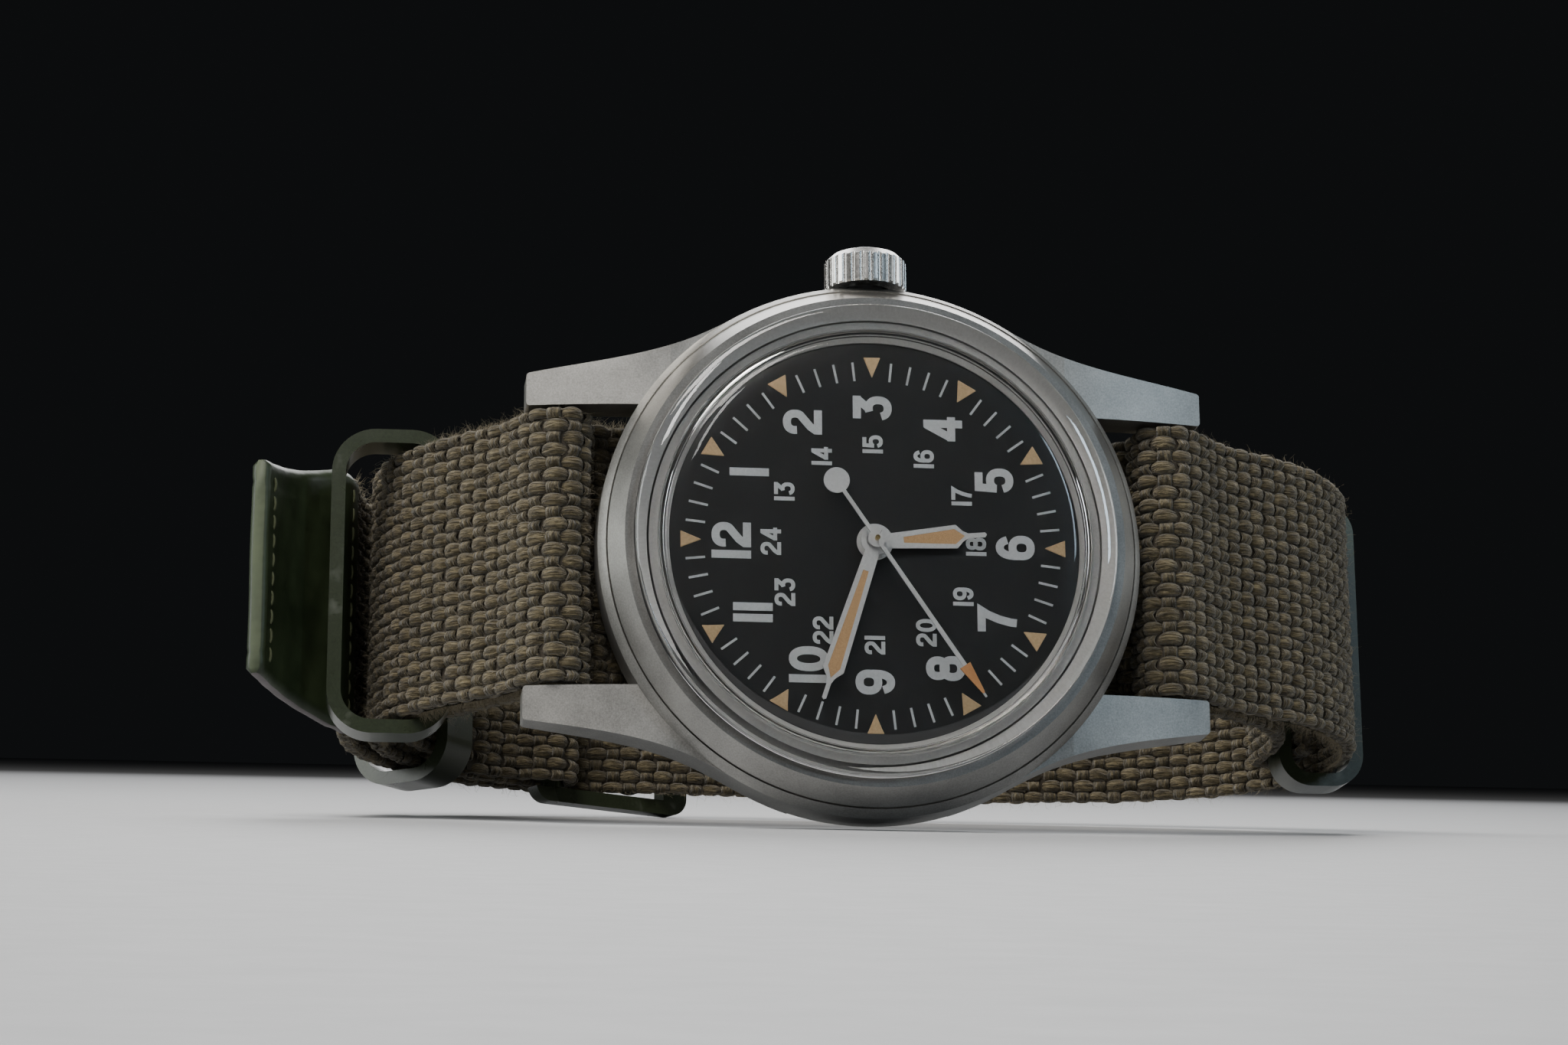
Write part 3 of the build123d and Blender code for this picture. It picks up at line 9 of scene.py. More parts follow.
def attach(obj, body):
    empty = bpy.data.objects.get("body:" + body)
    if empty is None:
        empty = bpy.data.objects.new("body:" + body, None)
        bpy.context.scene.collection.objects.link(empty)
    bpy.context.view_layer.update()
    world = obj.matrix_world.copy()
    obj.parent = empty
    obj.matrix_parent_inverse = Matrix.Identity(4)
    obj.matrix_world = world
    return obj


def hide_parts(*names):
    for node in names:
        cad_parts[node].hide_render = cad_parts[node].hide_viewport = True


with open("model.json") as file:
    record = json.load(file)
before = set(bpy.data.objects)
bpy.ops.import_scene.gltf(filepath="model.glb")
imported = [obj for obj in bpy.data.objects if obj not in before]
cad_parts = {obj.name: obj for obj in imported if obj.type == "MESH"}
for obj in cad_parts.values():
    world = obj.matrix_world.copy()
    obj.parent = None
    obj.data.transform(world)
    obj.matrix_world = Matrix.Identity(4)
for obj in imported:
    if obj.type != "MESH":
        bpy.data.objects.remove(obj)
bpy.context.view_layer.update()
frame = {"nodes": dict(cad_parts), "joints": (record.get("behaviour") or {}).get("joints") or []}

NODES = frame["nodes"]
JOINTS = {joint["name"]: joint for joint in frame["joints"]}
scene = bpy.context.scene
rng = np.random.default_rng(7)

# ---------------------------------------------------------------- bench coordinates

# Every piece is drawn on the bench in millimetres: +X to 6 o'clock, +Y to 3 o'clock, +Z out of the dial,
# Z = 0 at the dial's upper face. BENCH carries that into the frame's metres.
STEM_Z = -2.30
dial_normal = Vector(JOINTS["seconds"]["axis"]).normalized()
crown_way = Vector(JOINTS["crown_turn"]["axis"]).normalized()
bench_origin = Vector(JOINTS["seconds"]["pos_m"]) - dial_normal * STEM_Z * 0.001
BENCH = Matrix((
    (0.001, crown_way.x * 0.001, dial_normal.x * 0.001, bench_origin.x),
    (0.0, crown_way.y * 0.001, dial_normal.y * 0.001, bench_origin.y),
    (0.0, crown_way.z * 0.001, dial_normal.z * 0.001, bench_origin.z),
    (0.0, 0.0, 0.0, 1.0),
))
BENCH_ROWS = np.array(BENCH)

# ---------------------------------------------------------------- driving dimensions, mm

GLASS_R = 16.75
GLASS_SEAT_Z = 0.62
GLASS_INNER_R = 15.05
GLASS_EDGE_Z = 2.45         # where the side of the glass meets its rounded shoulder
DOME_R, DOME_EDGE_Z, DOME_TOP_Z = 16.22, 2.98, 4.10
HOLLOW_R, HOLLOW_EDGE_Z, HOLLOW_TOP_Z = 14.10, 2.12, 2.92
AXIS_R = 0.02               # the crystal's rings stop this short of its axis
TICK_IN, TICK_OUT, TICK_W = 11.75, 13.10, 0.16
TRIANGLE_OUT, TRIANGLE_IN = 13.42, 11.95
TRIANGLE_HALF = 0.74
TRIANGLE_HALF_QUARTER = 0.60        # half width of those at 12, 3, 6 and 9
PRINT_H = 0.02              # how far the dial's print stands up
PRINT_FOOT = 0.002          # its underside, clear of the dial
PRINT_LAYER = 0.0015        # each further stroke of a figure stands up by this much more
HOUR_SIZE, HOUR_STROKE, HOUR_RATIO = 2.73, 0.56, 0.64
DAY_SIZE, DAY_STROKE, DAY_RATIO = 1.43, 0.27, 0.63
DAY_R = 7.15                # the inner ring of numbers

STRAP_W = 19.6
UNDER_W = 18.0
LEATHER_T = 1.40
LEATHER_W = 19.2
LEATHER_TIP_HALF = 7.5
LEATHER_TAPER_X, LEATHER_TAPER_RUN = -37.0, 6.0
LEATHER_ROUND = 0.45        # how far in from its edge the leather is rounded off
GROOVE_IN, GROOVE_HALF_W, GROOVE_DEPTH = 1.6, 0.14, 0.07        # the pressed border
STITCH_PITCH = 1.35
FLOAT = 1.30                # half a weave period along the strap
YARN_PITCH = 0.89           # from one warp yarn to the next
YARN_HALF_W = 0.47
YARN_HALF_T = 0.27
WEAVE_RISE = 0.33
WEFT_RISE = 0.40
WEFT_HALF_W = 0.52
WEFT_HALF_T = 0.24
CORE_T = 0.30               # the thin band inside the weave
CORE_NARROWER = 0.5
CORE_STEP = 0.8
FIBRE_ROOT = 0.42           # loose fibres start this far from the band's middle

# middle lines of the bands, as X, Z points, the same as the part's
CANVAS_ROUTE = [
    (-26.4, -34.35), (-24.1, -35.85), (-21.7, -36.7), (-19.32, -36.82), (-18.29, -37.48), (-18.02, -38.68),
    (-18.68, -39.71), (-19.88, -39.97), (-22.7, -38.8), (-27.0, -36.0), (-30.3, -32.6), (-32.7, -28.2),
    (-33.6, -23.2), (-33.3, -18.8), (-32.3, -15.3), (-30.4, -12.0), (-27.6, -8.8), (-24.9, -5.6),
    (-23.3, -2.7), (-21.3, -1.75), (-19.95, -2.9), (-19.9, -4.75), (-18.9, -6.1), (-16.4, -6.5),
    (-10.0, -6.3), (0.0, -6.25), (10.0, -6.3), (16.4, -6.5), (18.9, -6.1), (19.9, -4.75),
    (19.95, -2.9), (21.3, -1.75), (23.5, -2.7), (25.4, -5.0), (28.4, -7.4), (33.0, -10.6),
    (36.9, -15.3), (39.0, -20.6), (39.3, -25.8), (38.4, -31.2), (35.2, -36.3), (29.5, -40.0),
    (20.5, -42.1), (10.0, -42.75), (0.0, -42.5), (-6.0, -41.95), (-10.5, -41.6), (-15.0, -41.5),
    (-19.6, -41.6), (-23.5, -40.5), (-27.1, -38.35), (-30.5, -35.3), (-33.2, -31.8), (-34.9, -28.0),
    (-35.6, -24.5), (-35.85, -21.6),
]
LEATHER_ROUTE = [
    (-35.86, -21.5), (-36.5, -19.6), (-37.9, -18.1), (-39.5, -16.4), (-40.8, -14.2), (-41.7, -12.0),
    (-42.3, -10.2),
]
UNDER_ROUTE = [
    (-27.4, -33.2), (-29.5, -30.7), (-30.9, -27.5), (-31.2, -24.0), (-30.0, -20.4), (-27.6, -17.1),
    (-24.8, -13.3), (-21.0, -10.0), (-15.5, -8.5), (0.0, -8.1), (15.5, -8.5), (21.5, -9.7),
    (27.5, -12.6), (31.8, -16.6), (33.8, -21.2), (34.15, -25.5), (34.15, -29.0), (34.55, -29.95),
    (35.5, -30.35), (36.45, -29.95), (36.85, -29.0), (36.87, -26.8), (36.87, -24.5),
]
SLOTS_FOR_TONGUE = (((-21.0, -17.0), (-40.72, -36.9)), ((-18.2, -12.8), (-43.0, -40.72)))
TONGUE_GAP = 1.2            # half the width of those slots

# ---------------------------------------------------------------- mesh helpers


def mesh_object(name, verts, faces, material, body="case", smooth=True, uv=None):
    """A piece from bench-space vertices (numpy, mm) and an (n, 4) or list face table, riding on a body."""
    verts = np.asarray(verts, float)
    placed = verts @ BENCH_ROWS[:3, :3].T + BENCH_ROWS[:3, 3]
    mesh = bpy.data.meshes.new(name)
    if isinstance(faces, np.ndarray):
        corners = faces.shape[1]
        mesh.vertices.add(len(placed))
        mesh.vertices.foreach_set("co", placed.astype(np.float32).ravel())
        mesh.loops.add(faces.size)
        mesh.loops.foreach_set("vertex_index", faces.astype(np.int32).ravel())
        mesh.polygons.add(len(faces))
        mesh.polygons.foreach_set("loop_start", np.arange(0, faces.size, corners, dtype=np.int32))
        mesh.update(calc_edges=True)
    else:
        mesh.from_pydata([tuple(v) for v in placed], [], faces)
    if uv is not None:
        layer = mesh.uv_layers.new(name="yarn")
        index = np.zeros(len(mesh.loops), np.int32)
        mesh.loops.foreach_get("vertex_index", index)
        layer.data.foreach_set("uv", uv[index].astype(np.float32).ravel())
    mesh.validate()
    if smooth:
        mesh.polygons.foreach_set("use_smooth", [True] * len(mesh.polygons))
    piece = bpy.data.objects.new(name, mesh)
    scene.collection.objects.link(piece)
    mesh.materials.append(material)
    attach(piece, body)
    return piece


def natural_spline(points, step):
    """Points and unit tangents every step mm along a natural cubic through X, Z points."""
    points = np.array(points, float)
    gaps = np.linalg.norm(np.diff(points, axis=0), axis=1)
    at = np.concatenate([[0.0], np.cumsum(gaps)])
    count = len(points)
    system = np.zeros((count, count))
    known = np.zeros((count, 2))
    system[0, 0] = 1.0
    system[-1, -1] = 1.0
    for i in range(1, count - 1):
        system[i, i - 1] = gaps[i - 1]
        system[i, i] = 2 * (gaps[i - 1] + gaps[i])
        system[i, i + 1] = gaps[i]
        known[i] = 6 * ((points[i + 1] - points[i]) / gaps[i] - (points[i] - points[i - 1]) / gaps[i - 1])
    bend = np.linalg.solve(system, known)
    fine = np.linspace(0, at[-1], 6000)
    k = np.clip(np.searchsorted(at, fine, side="right") - 1, 0, count - 2)
    left = (at[k + 1] - fine)[:, None]
    right = (fine - at[k])[:, None]
    h = gaps[k][:, None]
    curve = (bend[k] * left ** 3 + bend[k + 1] * right ** 3) / (6 * h)
    curve += (points[k] / h - bend[k] * h / 6) * left + (points[k + 1] / h - bend[k + 1] * h / 6) * right
    run = np.concatenate([[0.0], np.cumsum(np.linalg.norm(np.diff(curve, axis=0), axis=1))])
    steps = max(2, int(round(run[-1] / step)))
    marks = np.linspace(0, run[-1], steps + 1)
    spots = np.stack([np.interp(marks, run, curve[:, i]) for i in range(2)], axis=1)
    ways = np.gradient(spots, axis=0)
    ways /= np.linalg.norm(ways, axis=1)[:, None]
    return marks, spots, ways


def lathe(name, outline, material, segments=256):
    """A turned piece about the bench's Z axis from a closed outline of (radius, Z) points."""
    outline = np.array(outline, float)
    angles = np.linspace(0, 2 * math.pi, segments, endpoint=False)
    verts = np.stack([
        np.outer(np.cos(angles), outline[:, 0]),
        np.outer(np.sin(angles), outline[:, 0]),
        np.tile(outline[:, 1], (segments, 1)),
    ], axis=-1).reshape(-1, 3)
    rings = len(outline)
    faces = []
    for i in range(segments):
        for j in range(rings):
            a, b = i * rings + j, i * rings + (j + 1) % rings
            c, d = ((i + 1) % segments) * rings + (j + 1) % rings, ((i + 1) % segments) * rings + j
            faces.append((d, c, b, a))
    return mesh_object(name, verts, np.array(faces), material)


# ---------------------------------------------------------------- material helpers


def new_material(name):
    """A material with its shader and a small builder for its nodes."""
    material = bpy.data.materials.new(name)
    material.use_nodes = True
    tree = material.node_tree
    shader = tree.nodes["Principled BSDF"]
    return material, tree, shader


def node(tree, kind, **values):
    """A node with its inputs or settings filled in; links are given as sockets."""
    made = tree.nodes.new(kind)
    for key, value in values.items():
        if key in made.inputs:
            target = made.inputs[key]
            if isinstance(value, bpy.types.NodeSocket):
                tree.links.new(value, target)
            else:
                target.default_value = value
        else:
            setattr(made, key, value)
    return made


def object_coords(tree):
    return node(tree, "ShaderNodeTexCoord").outputs["Object"]


def noise(tree, scale, detail=3.0, roughness=0.5, vector=None):
    made = node(tree, "ShaderNodeTexNoise", Scale=scale, Detail=detail, Roughness=roughness)
    tree.links.new(vector or object_coords(tree), made.inputs["Vector"])
    return made.outputs["Fac"]


def ramp(tree, fac, stops):
    made = node(tree, "ShaderNodeValToRGB", Fac=fac)
    elements = made.color_ramp.elements
    while len(elements) < len(stops):
        elements.new(0.5)
    for element, (position, colour) in zip(elements, stops):
        element.position = position
        element.color = (*colour, 1.0)
    return made.outputs["Color"]


def bump(tree, shader, height, strength, distance):
    made = node(tree, "ShaderNodeBump", Height=height, Strength=strength, Distance=distance)
    tree.links.new(made.outputs["Normal"], shader.inputs["Normal"])


def map_range(tree, value, low, high):
    made = node(tree, "ShaderNodeMapRange", Value=value)
    made.inputs["To Min"].default_value = low
    made.inputs["To Max"].default_value = high
    return made.outputs["Result"]


def blasted_steel(name, dark, light, rough=(0.38, 0.52), grain=9000.0):
    """Bead-blasted steel: a fine even pitting with slow patches of handling marks."""
    material, tree, shader = new_material(name)
    fine = noise(tree, grain, 4.0, 0.65)
    slow = noise(tree, 260.0, 4.0, 0.6)
    mixed = node(tree, "ShaderNodeMath", operation="ADD")
    tree.links.new(map_range(tree, fine, 0.0, 0.55), mixed.inputs[0])
    tree.links.new(map_range(tree, slow, 0.0, 0.45), mixed.inputs[1])
    tree.links.new(ramp(tree, mixed.outputs[0], [(0.36, dark), (0.64, light)]), shader.inputs["Base Color"])
    tree.links.new(map_range(tree, mixed.outputs[0], *rough), shader.inputs["Roughness"])
    shader.inputs["Metallic"].default_value = 1.0
    bump(tree, shader, fine, 0.35, 0.00001)
    return material


def brushed_metal(name, dark, light, rough=(0.22, 0.38), stretch=(1.0, 1.0, 1.0), metallic=1.0):
    """Ground or grained metal with fine lines along the stretched direction."""
    material, tree, shader = new_material(name)
    mapping = node(tree, "ShaderNodeMapping", Vector=object_coords(tree))
    mapping.inputs["Scale"].default_value = stretch
    lines = noise(tree, 3000.0, 4.0, 0.6, mapping.outputs["Vector"])
    tree.links.new(ramp(tree, lines, [(0.3, dark), (0.7, light)]), shader.inputs["Base Color"])
    tree.links.new(map_range(tree, lines, *rough), shader.inputs["Roughness"])
    shader.inputs["Metallic"].default_value = metallic
    bump(tree, shader, lines, 0.15, 0.00001)
    return material


def coated(name, dark, light, rough, fine_scale=6000.0, wear=None, bump_depth=0.00001):
    """A painted or coated surface with a fine orange-peel texture and, if asked, bare metal rubbed through."""
    material, tree, shader = new_material(name)
    fine = noise(tree, fine_scale, 4.0, 0.6)
    slow = noise(tree, 350.0, 3.0, 0.6)
    colour = ramp(tree, fine, [(0.3, dark), (0.7, light)])
    if wear:
        shade = ramp(tree, slow, [(0.60, (0, 0, 0)), (0.72, (1, 1, 1))])
        mix = node(tree, "ShaderNodeMix", data_type="RGBA")
        tree.links.new(shade, mix.inputs["Factor"])
        tree.links.new(colour, mix.inputs["A"])
        mix.inputs["B"].default_value = (*wear, 1.0)
        colour = mix.outputs["Result"]
    tree.links.new(colour, shader.inputs["Base Color"])
    tree.links.new(map_range(tree, slow, *rough), shader.inputs["Roughness"])
    bump(tree, shader, fine, 0.3, bump_depth)
    return material


def crystal_glass():
    material, tree, shader = new_material("crystal_clear")
    shader.inputs["Base Color"].default_value = (1.0, 1.0, 1.0, 1.0)
    shader.inputs["Transmission Weight"].default_value = 1.0
    shader.inputs["IOR"].default_value = 1.49
    faint = noise(tree, 120.0, 2.0)
    tree.links.new(map_range(tree, faint, 0.0, 0.012), shader.inputs["Roughness"])
    return material


def yarn_material(name, dark, mid, light):
    """Plied cotton yarn: helical strands round each yarn, with the colour varying from yarn to yarn."""
    material, tree, shader = new_material(name)
    uv = node(tree, "ShaderNodeUVMap", uv_map="yarn").outputs["UV"]
    strands = node(tree, "ShaderNodeMapping", Vector=uv)
    strands.inputs["Rotation"].default_value = (0.0, 0.0, 0.20)
    strands.inputs["Scale"].default_value = (0.60, 2.4, 1.0)
    wave = node(tree, "ShaderNodeTexNoise", Scale=1.3, Detail=3.0, Roughness=0.6, Distortion=0.5)
    tree.links.new(strands.outputs["Vector"], wave.inputs["Vector"])
    fine_strands = map_range(tree, wave.outputs["Fac"], -1.1, 2.1)
    patches = noise(tree, 900.0, 4.0, 0.7)
    fibre = noise(tree, 9000.0, 3.0, 0.7)
    total = node(tree, "ShaderNodeMath", operation="ADD")
    tree.links.new(map_range(tree, fine_strands, 0.0, 0.45), total.inputs[0])
    tree.links.new(map_range(tree, patches, -0.1, 0.65), total.inputs[1])
    colour = ramp(tree, total.outputs[0], [(0.15, dark), (0.5, mid), (0.9, light)])
    tree.links.new(colour, shader.inputs["Base Color"])
    shader.inputs["Roughness"].default_value = 0.92
    shader.inputs["Specular IOR Level"].default_value = 0.15
    shader.inputs["Sheen Weight"].default_value = 0.25
    shader.inputs["Sheen Roughness"].default_value = 0.5
    height = node(tree, "ShaderNodeMath", operation="ADD")
    tree.links.new(fine_strands, height.inputs[0])
    tree.links.new(map_range(tree, fibre, 0.0, 0.5), height.inputs[1])
    bump(tree, shader, height.outputs[0], 0.9, 0.00016)
    return material


def leather_material(name, dark, light, rough=(0.38, 0.55)):
    """Finished leather: a pebbled grain of small cells with creases between them."""
    material, tree, shader = new_material(name)
    cells = node(tree, "ShaderNodeTexVoronoi", Scale=1900.0, feature="SMOOTH_F1")
    tree.links.new(object_coords(tree), cells.inputs["Vector"])
    slow = noise(tree, 300.0, 4.0, 0.6)
    tree.links.new(ramp(tree, slow, [(0.3, dark), (0.7, light)]), shader.inputs["Base Color"])
    tree.links.new(map_range(tree, slow, *rough), shader.inputs["Roughness"])
    bump(tree, shader, cells.outputs["Distance"], 0.35, 0.00006)
    return material


M_CASE = blasted_steel(
    "blasted_steel", (0.23, 0.227, 0.216), (0.40, 0.392, 0.372), rough=(0.38, 0.50), grain=8200.0,
)
M_RIM = blasted_steel(
    "bezel_steel", (0.26, 0.256, 0.244), (0.40, 0.392, 0.372), rough=(0.28, 0.40), grain=8200.0,
)
M_STEEL = brushed_metal("ground_steel", (0.50, 0.50, 0.51), (0.72, 0.72, 0.73))
M_CROWN = brushed_metal("crown_steel", (0.46, 0.455, 0.44), (0.62, 0.61, 0.59), rough=(0.20, 0.32))
M_PLATE = brushed_metal("nickel_plate", (0.55, 0.54, 0.51), (0.74, 0.72, 0.68), stretch=(1.0, 0.08, 0.08))
M_GILT = brushed_metal("gilt_brass", (0.62, 0.44, 0.18), (0.86, 0.66, 0.34), rough=(0.20, 0.32))
M_RUBBER = coated("black_rubber", (0.012, 0.012, 0.012), (0.03, 0.03, 0.03), (0.6, 0.8))
M_REHAUT = coated("rehaut_grey", (0.36, 0.36, 0.345), (0.44, 0.44, 0.42), (0.45, 0.6))
M_NYLON = coated("natural_nylon", (0.52, 0.52, 0.50), (0.62, 0.62, 0.60), (0.45, 0.6))
M_DIAL = coated(
    "dial_black", (0.0045, 0.0047, 0.0050), (0.0075, 0.0078, 0.0083), (0.42, 0.55), fine_scale=9000.0,
)
M_PRINT = coated("print_white", (0.52, 0.545, 0.56), (0.62, 0.645, 0.66), (0.55, 0.7))
M_TRIANGLE = coated("print_tan", (0.52, 0.36, 0.19), (0.66, 0.47, 0.27), (0.7, 0.85))
M_HAND = coated("hand_frame", (0.56, 0.57, 0.57), (0.66, 0.67, 0.67), (0.32, 0.45))
M_LUME = coated(
    "lume_tan", (0.50, 0.30, 0.14), (0.68, 0.43, 0.22), (0.75, 0.9), fine_scale=12000.0, bump_depth=0.00002,
)
M_TIP = coated("seconds_tip_peach", (0.60, 0.27, 0.10), (0.70, 0.34, 0.14), (0.6, 0.8), fine_scale=12000.0)
M_LOOP = coated(
    "loop_olive", (0.014, 0.019, 0.009), (0.026, 0.034, 0.017), (0.22, 0.36), wear=(0.07, 0.078, 0.060),
)
M_RUBY = coated("ruby", (0.30, 0.01, 0.05), (0.45, 0.02, 0.08), (0.05, 0.10))
M_GLASS = crystal_glass()
M_WARP = yarn_material("warp_yarn", (0.014, 0.011, 0.005), (0.078, 0.062, 0.032), (0.225, 0.187, 0.108))
M_WEFT = yarn_material("weft_yarn", (0.012, 0.010, 0.005), (0.066, 0.053, 0.028), (0.195, 0.162, 0.094))
# the weave's core: dark brown, painted shade for the shadow deep between the yarns
M_CORE_SHADE = coated("canvas_core_painted_shade", (0.020, 0.016, 0.010), (0.045, 0.036, 0.024), (0.85, 0.95))
M_FUZZ = coated("canvas_fibre", (0.15, 0.125, 0.08), (0.30, 0.26, 0.18), (0.8, 0.95))
M_LEATHER = leather_material("olive_leather", (0.010, 0.017, 0.006), (0.024, 0.037, 0.014))
M_LEATHER_EDGE = leather_material(
    "leather_edge", (0.075, 0.066, 0.068), (0.16, 0.145, 0.145), rough=(0.7, 0.9),
)
# the leather's end face: olive edge paint, drawn lighter than the leather's face as painted highlight for the
# light the end catches
M_LEATHER_END_PAINT_AND_LIGHT = leather_material(
    "leather_end_edge_paint_and_light", (0.030, 0.042, 0.018), (0.062, 0.080, 0.038), rough=(0.55, 0.75),
)
M_THREAD = coated(
    "olive_thread", (0.050, 0.060, 0.025), (0.095, 0.105, 0.050), (0.7, 0.9), fine_scale=20000.0,
)

CAD_MATERIALS = {
    M_CASE: ["mid_case", "case_back"],
    M_RIM: ["bezel_ring"],
    M_CROWN: ["crown"],
    M_STEEL: [
        "spring_bars", "crown_tube", "barrel_arbor", "ratchet_wheel", "crown_wheel", "click", "click_spring",
        "winding_pinion", "sliding_pinion", "stem", "setting_lever", "yoke", "movement_screws", "pallet_fork",
        "hairspring", "mainspring", "escape_wheel", "minute_wheel", "cannon_pinion",
    ],
    M_LOOP: ["front_keeper", "rear_keeper", "under_strap_loop", "buckle_frame", "buckle_bar", "buckle_tongue"],
    M_RUBBER: ["case_back_gasket", "crown_gasket"],
    M_NYLON: ["crystal_gasket"],
    M_REHAUT: ["rehaut_ring"],
    M_DIAL: ["dial"],
    M_PLATE: ["main_plate", "barrel_bridge", "train_bridge", "balance_cock", "pallet_cock", "movement_ring"],
    M_GILT: [
        "centre_wheel", "third_wheel", "seconds_wheel", "hour_wheel", "barrel", "barrel_cover", "balance_wheel",
    ],
    M_RUBY: ["jewels"],
    M_HAND: ["hour_hand", "minute_hand", "seconds_hand"],
    M_LUME: ["hour_lume", "minute_lume"],
    M_TIP: ["seconds_tip"],
}


def smooth_by_angle(piece, degrees):
    """Shade a carried-over piece smooth except at edges sharper than the angle."""
    mesh = piece.data
    mesh.polygons.foreach_set("use_smooth", [True] * len(mesh.polygons))
    mesh.set_sharp_from_angle(angle=math.radians(degrees))


def dress_cad_nodes():
    for material, names in CAD_MATERIALS.items():
        for name in names:
            piece = NODES[name]
            piece.data.materials.clear()
            piece.data.materials.append(material)


# ---------------------------------------------------------------- crystal


def make_crystal():
    """The domed crystal: a rounded shoulder, a shallow dome and the same hollow inside."""
    shoulder = [
        (GLASS_R, GLASS_EDGE_Z), (16.735, 2.58), (16.67, 2.72), (16.56, 2.84), (16.40, 2.93),
        (DOME_R, DOME_EDGE_Z),
    ]
    rise = DOME_TOP_Z - DOME_EDGE_Z
    radius = (DOME_R ** 2 + rise ** 2) / (2 * rise)
    dome = [
        (r, DOME_TOP_Z - radius + math.sqrt(radius ** 2 - r ** 2)) for r in np.linspace(15.9, AXIS_R, 26)
    ]
    rise_in = HOLLOW_TOP_Z - HOLLOW_EDGE_Z
    radius_in = (HOLLOW_R ** 2 + rise_in ** 2) / (2 * rise_in)
    hollow = [
        (r, HOLLOW_TOP_Z - radius_in + math.sqrt(radius_in ** 2 - r ** 2))
        for r in np.linspace(AXIS_R, HOLLOW_R, 24)
    ]
    inner = [
        (14.42, 2.00), (14.72, 1.80), (14.93, 1.55), (GLASS_INNER_R, 1.20), (GLASS_INNER_R, GLASS_SEAT_Z),
    ]
    outline = [(GLASS_R, GLASS_SEAT_Z), (GLASS_R, 1.5)] + shoulder + dome + hollow + inner
    piece = lathe("crystal_dome", outline, M_GLASS)
    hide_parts("crystal")
    smooth_by_angle(piece, 50)


# ---------------------------------------------------------------- dial print


def ribbon(path, width, closed=False):
    """Left and right outlines of a constant-width stroke along a path of points."""
    path = np.array(path, float)
    if closed:
        before = np.roll(path, 1, axis=0)
        after = np.roll(path, -1, axis=0)
    else:
        before = np.vstack([path[0] * 2 - path[1], path[:-1]])
        after = np.vstack([path[1:], path[-1] * 2 - path[-2]])
    way_in = path - before
    way_out = after - path
    way_in /= np.linalg.norm(way_in, axis=1)[:, None]
    way_out /= np.linalg.norm(way_out, axis=1)[:, None]
    side_in = np.stack([-way_in[:, 1], way_in[:, 0]], axis=1)
    side_out = np.stack([-way_out[:, 1], way_out[:, 0]], axis=1)
    mitre = side_in + side_out
    mitre /= np.linalg.norm(mitre, axis=1)[:, None]
    stretch = 1.0 / np.maximum(0.35, (mitre * side_in).sum(axis=1))
    offset = mitre * (stretch * width / 2)[:, None]
    return path + offset, path - offset


def loop_path(cx, cy, rx, ry, start=0, end=360, count=28, power=2.3):
    """A squarish oval, as the dial's figures have."""
    points = []
    for angle in np.radians(np.linspace(start, end, count)):
        c, s = math.cos(angle), math.sin(angle)
        points.append((
            cx + rx * math.copysign(abs(c) ** (2 / power), c),
            cy + ry * math.copysign(abs(s) ** (2 / power), s),
        ))
    return points


def digit_strokes(digit, half_w, stroke):
    """Strokes of a digit of unit height on a centre line; each is (points, closed)."""
    a = half_w - stroke / 2
    t = stroke / 2
    top, bottom, middle = 1 - t, t, 0.5
    if digit == "0":
        return [(loop_path(0, middle, a, middle - t)[:-1], True)]
    if digit == "1":
        return [([(0, 0), (0, 1)], False)]
    if digit == "2":
        arch = loop_path(0, 1 - t - 0.21, a, 0.21, 190, -38, 20)
        tail = [(-a * 0.55, 0.30), (-a, t + 0.06), (-a, t)]
        return [(arch + tail, False), ([(-a - t, t), (half_w, t)], False)]
    if digit == "3":
        bowl = loop_path(0, bottom + 0.245, a, 0.245, 112, -165, 26)
        slope = [(a * 0.98, top - 0.04), (-a * 0.10, 0.585)]
        return [([(-a - t * 0.6, top), (half_w, top)], False), (slope, False), (bowl, False)]
    if digit == "4":
        return [
            ([(a * 0.62, 0), (a * 0.62, 1)], False),
            ([(a * 0.50, 0.93), (-a * 1.05, 0.30)], False),
            ([(-a - t, 0.285), (half_w, 0.285)], False),
        ]
    if digit == "5":
        bowl = loop_path(0, bottom + 0.25, a, 0.25, 140, -165, 26)
        return [([(a * 0.95, top), (-a * 0.86, top), (-a * 0.98, 0.43)], False), (bowl, False)]
    if digit == "6":
        bowl = loop_path(0, bottom + 0.235, a, 0.235)[:-1]
        back = loop_path(0, middle, a, middle - t, 28, 192, 22)
        return [(bowl, True), (back, False)]
    if digit == "7":
        leg = [(a * 0.55, 0.74), (0.0, 0.45), (-a * 0.34, 0.16), (-a * 0.42, 0)]
        return [([(-half_w, top), (a, top)] + leg, False)]
    if digit == "8":
        return [
            (loop_path(0, top - 0.200, a * 0.92, 0.200)[:-1], True),
            (loop_path(0, bottom + 0.226, a, 0.226)[:-1], True),
        ]
    bowl = loop_path(0, top - 0.235, a, 0.235)[:-1]
    back = loop_path(0, middle, a, middle - t, -152, 12, 22)
    return [(bowl, True), (back, False)]


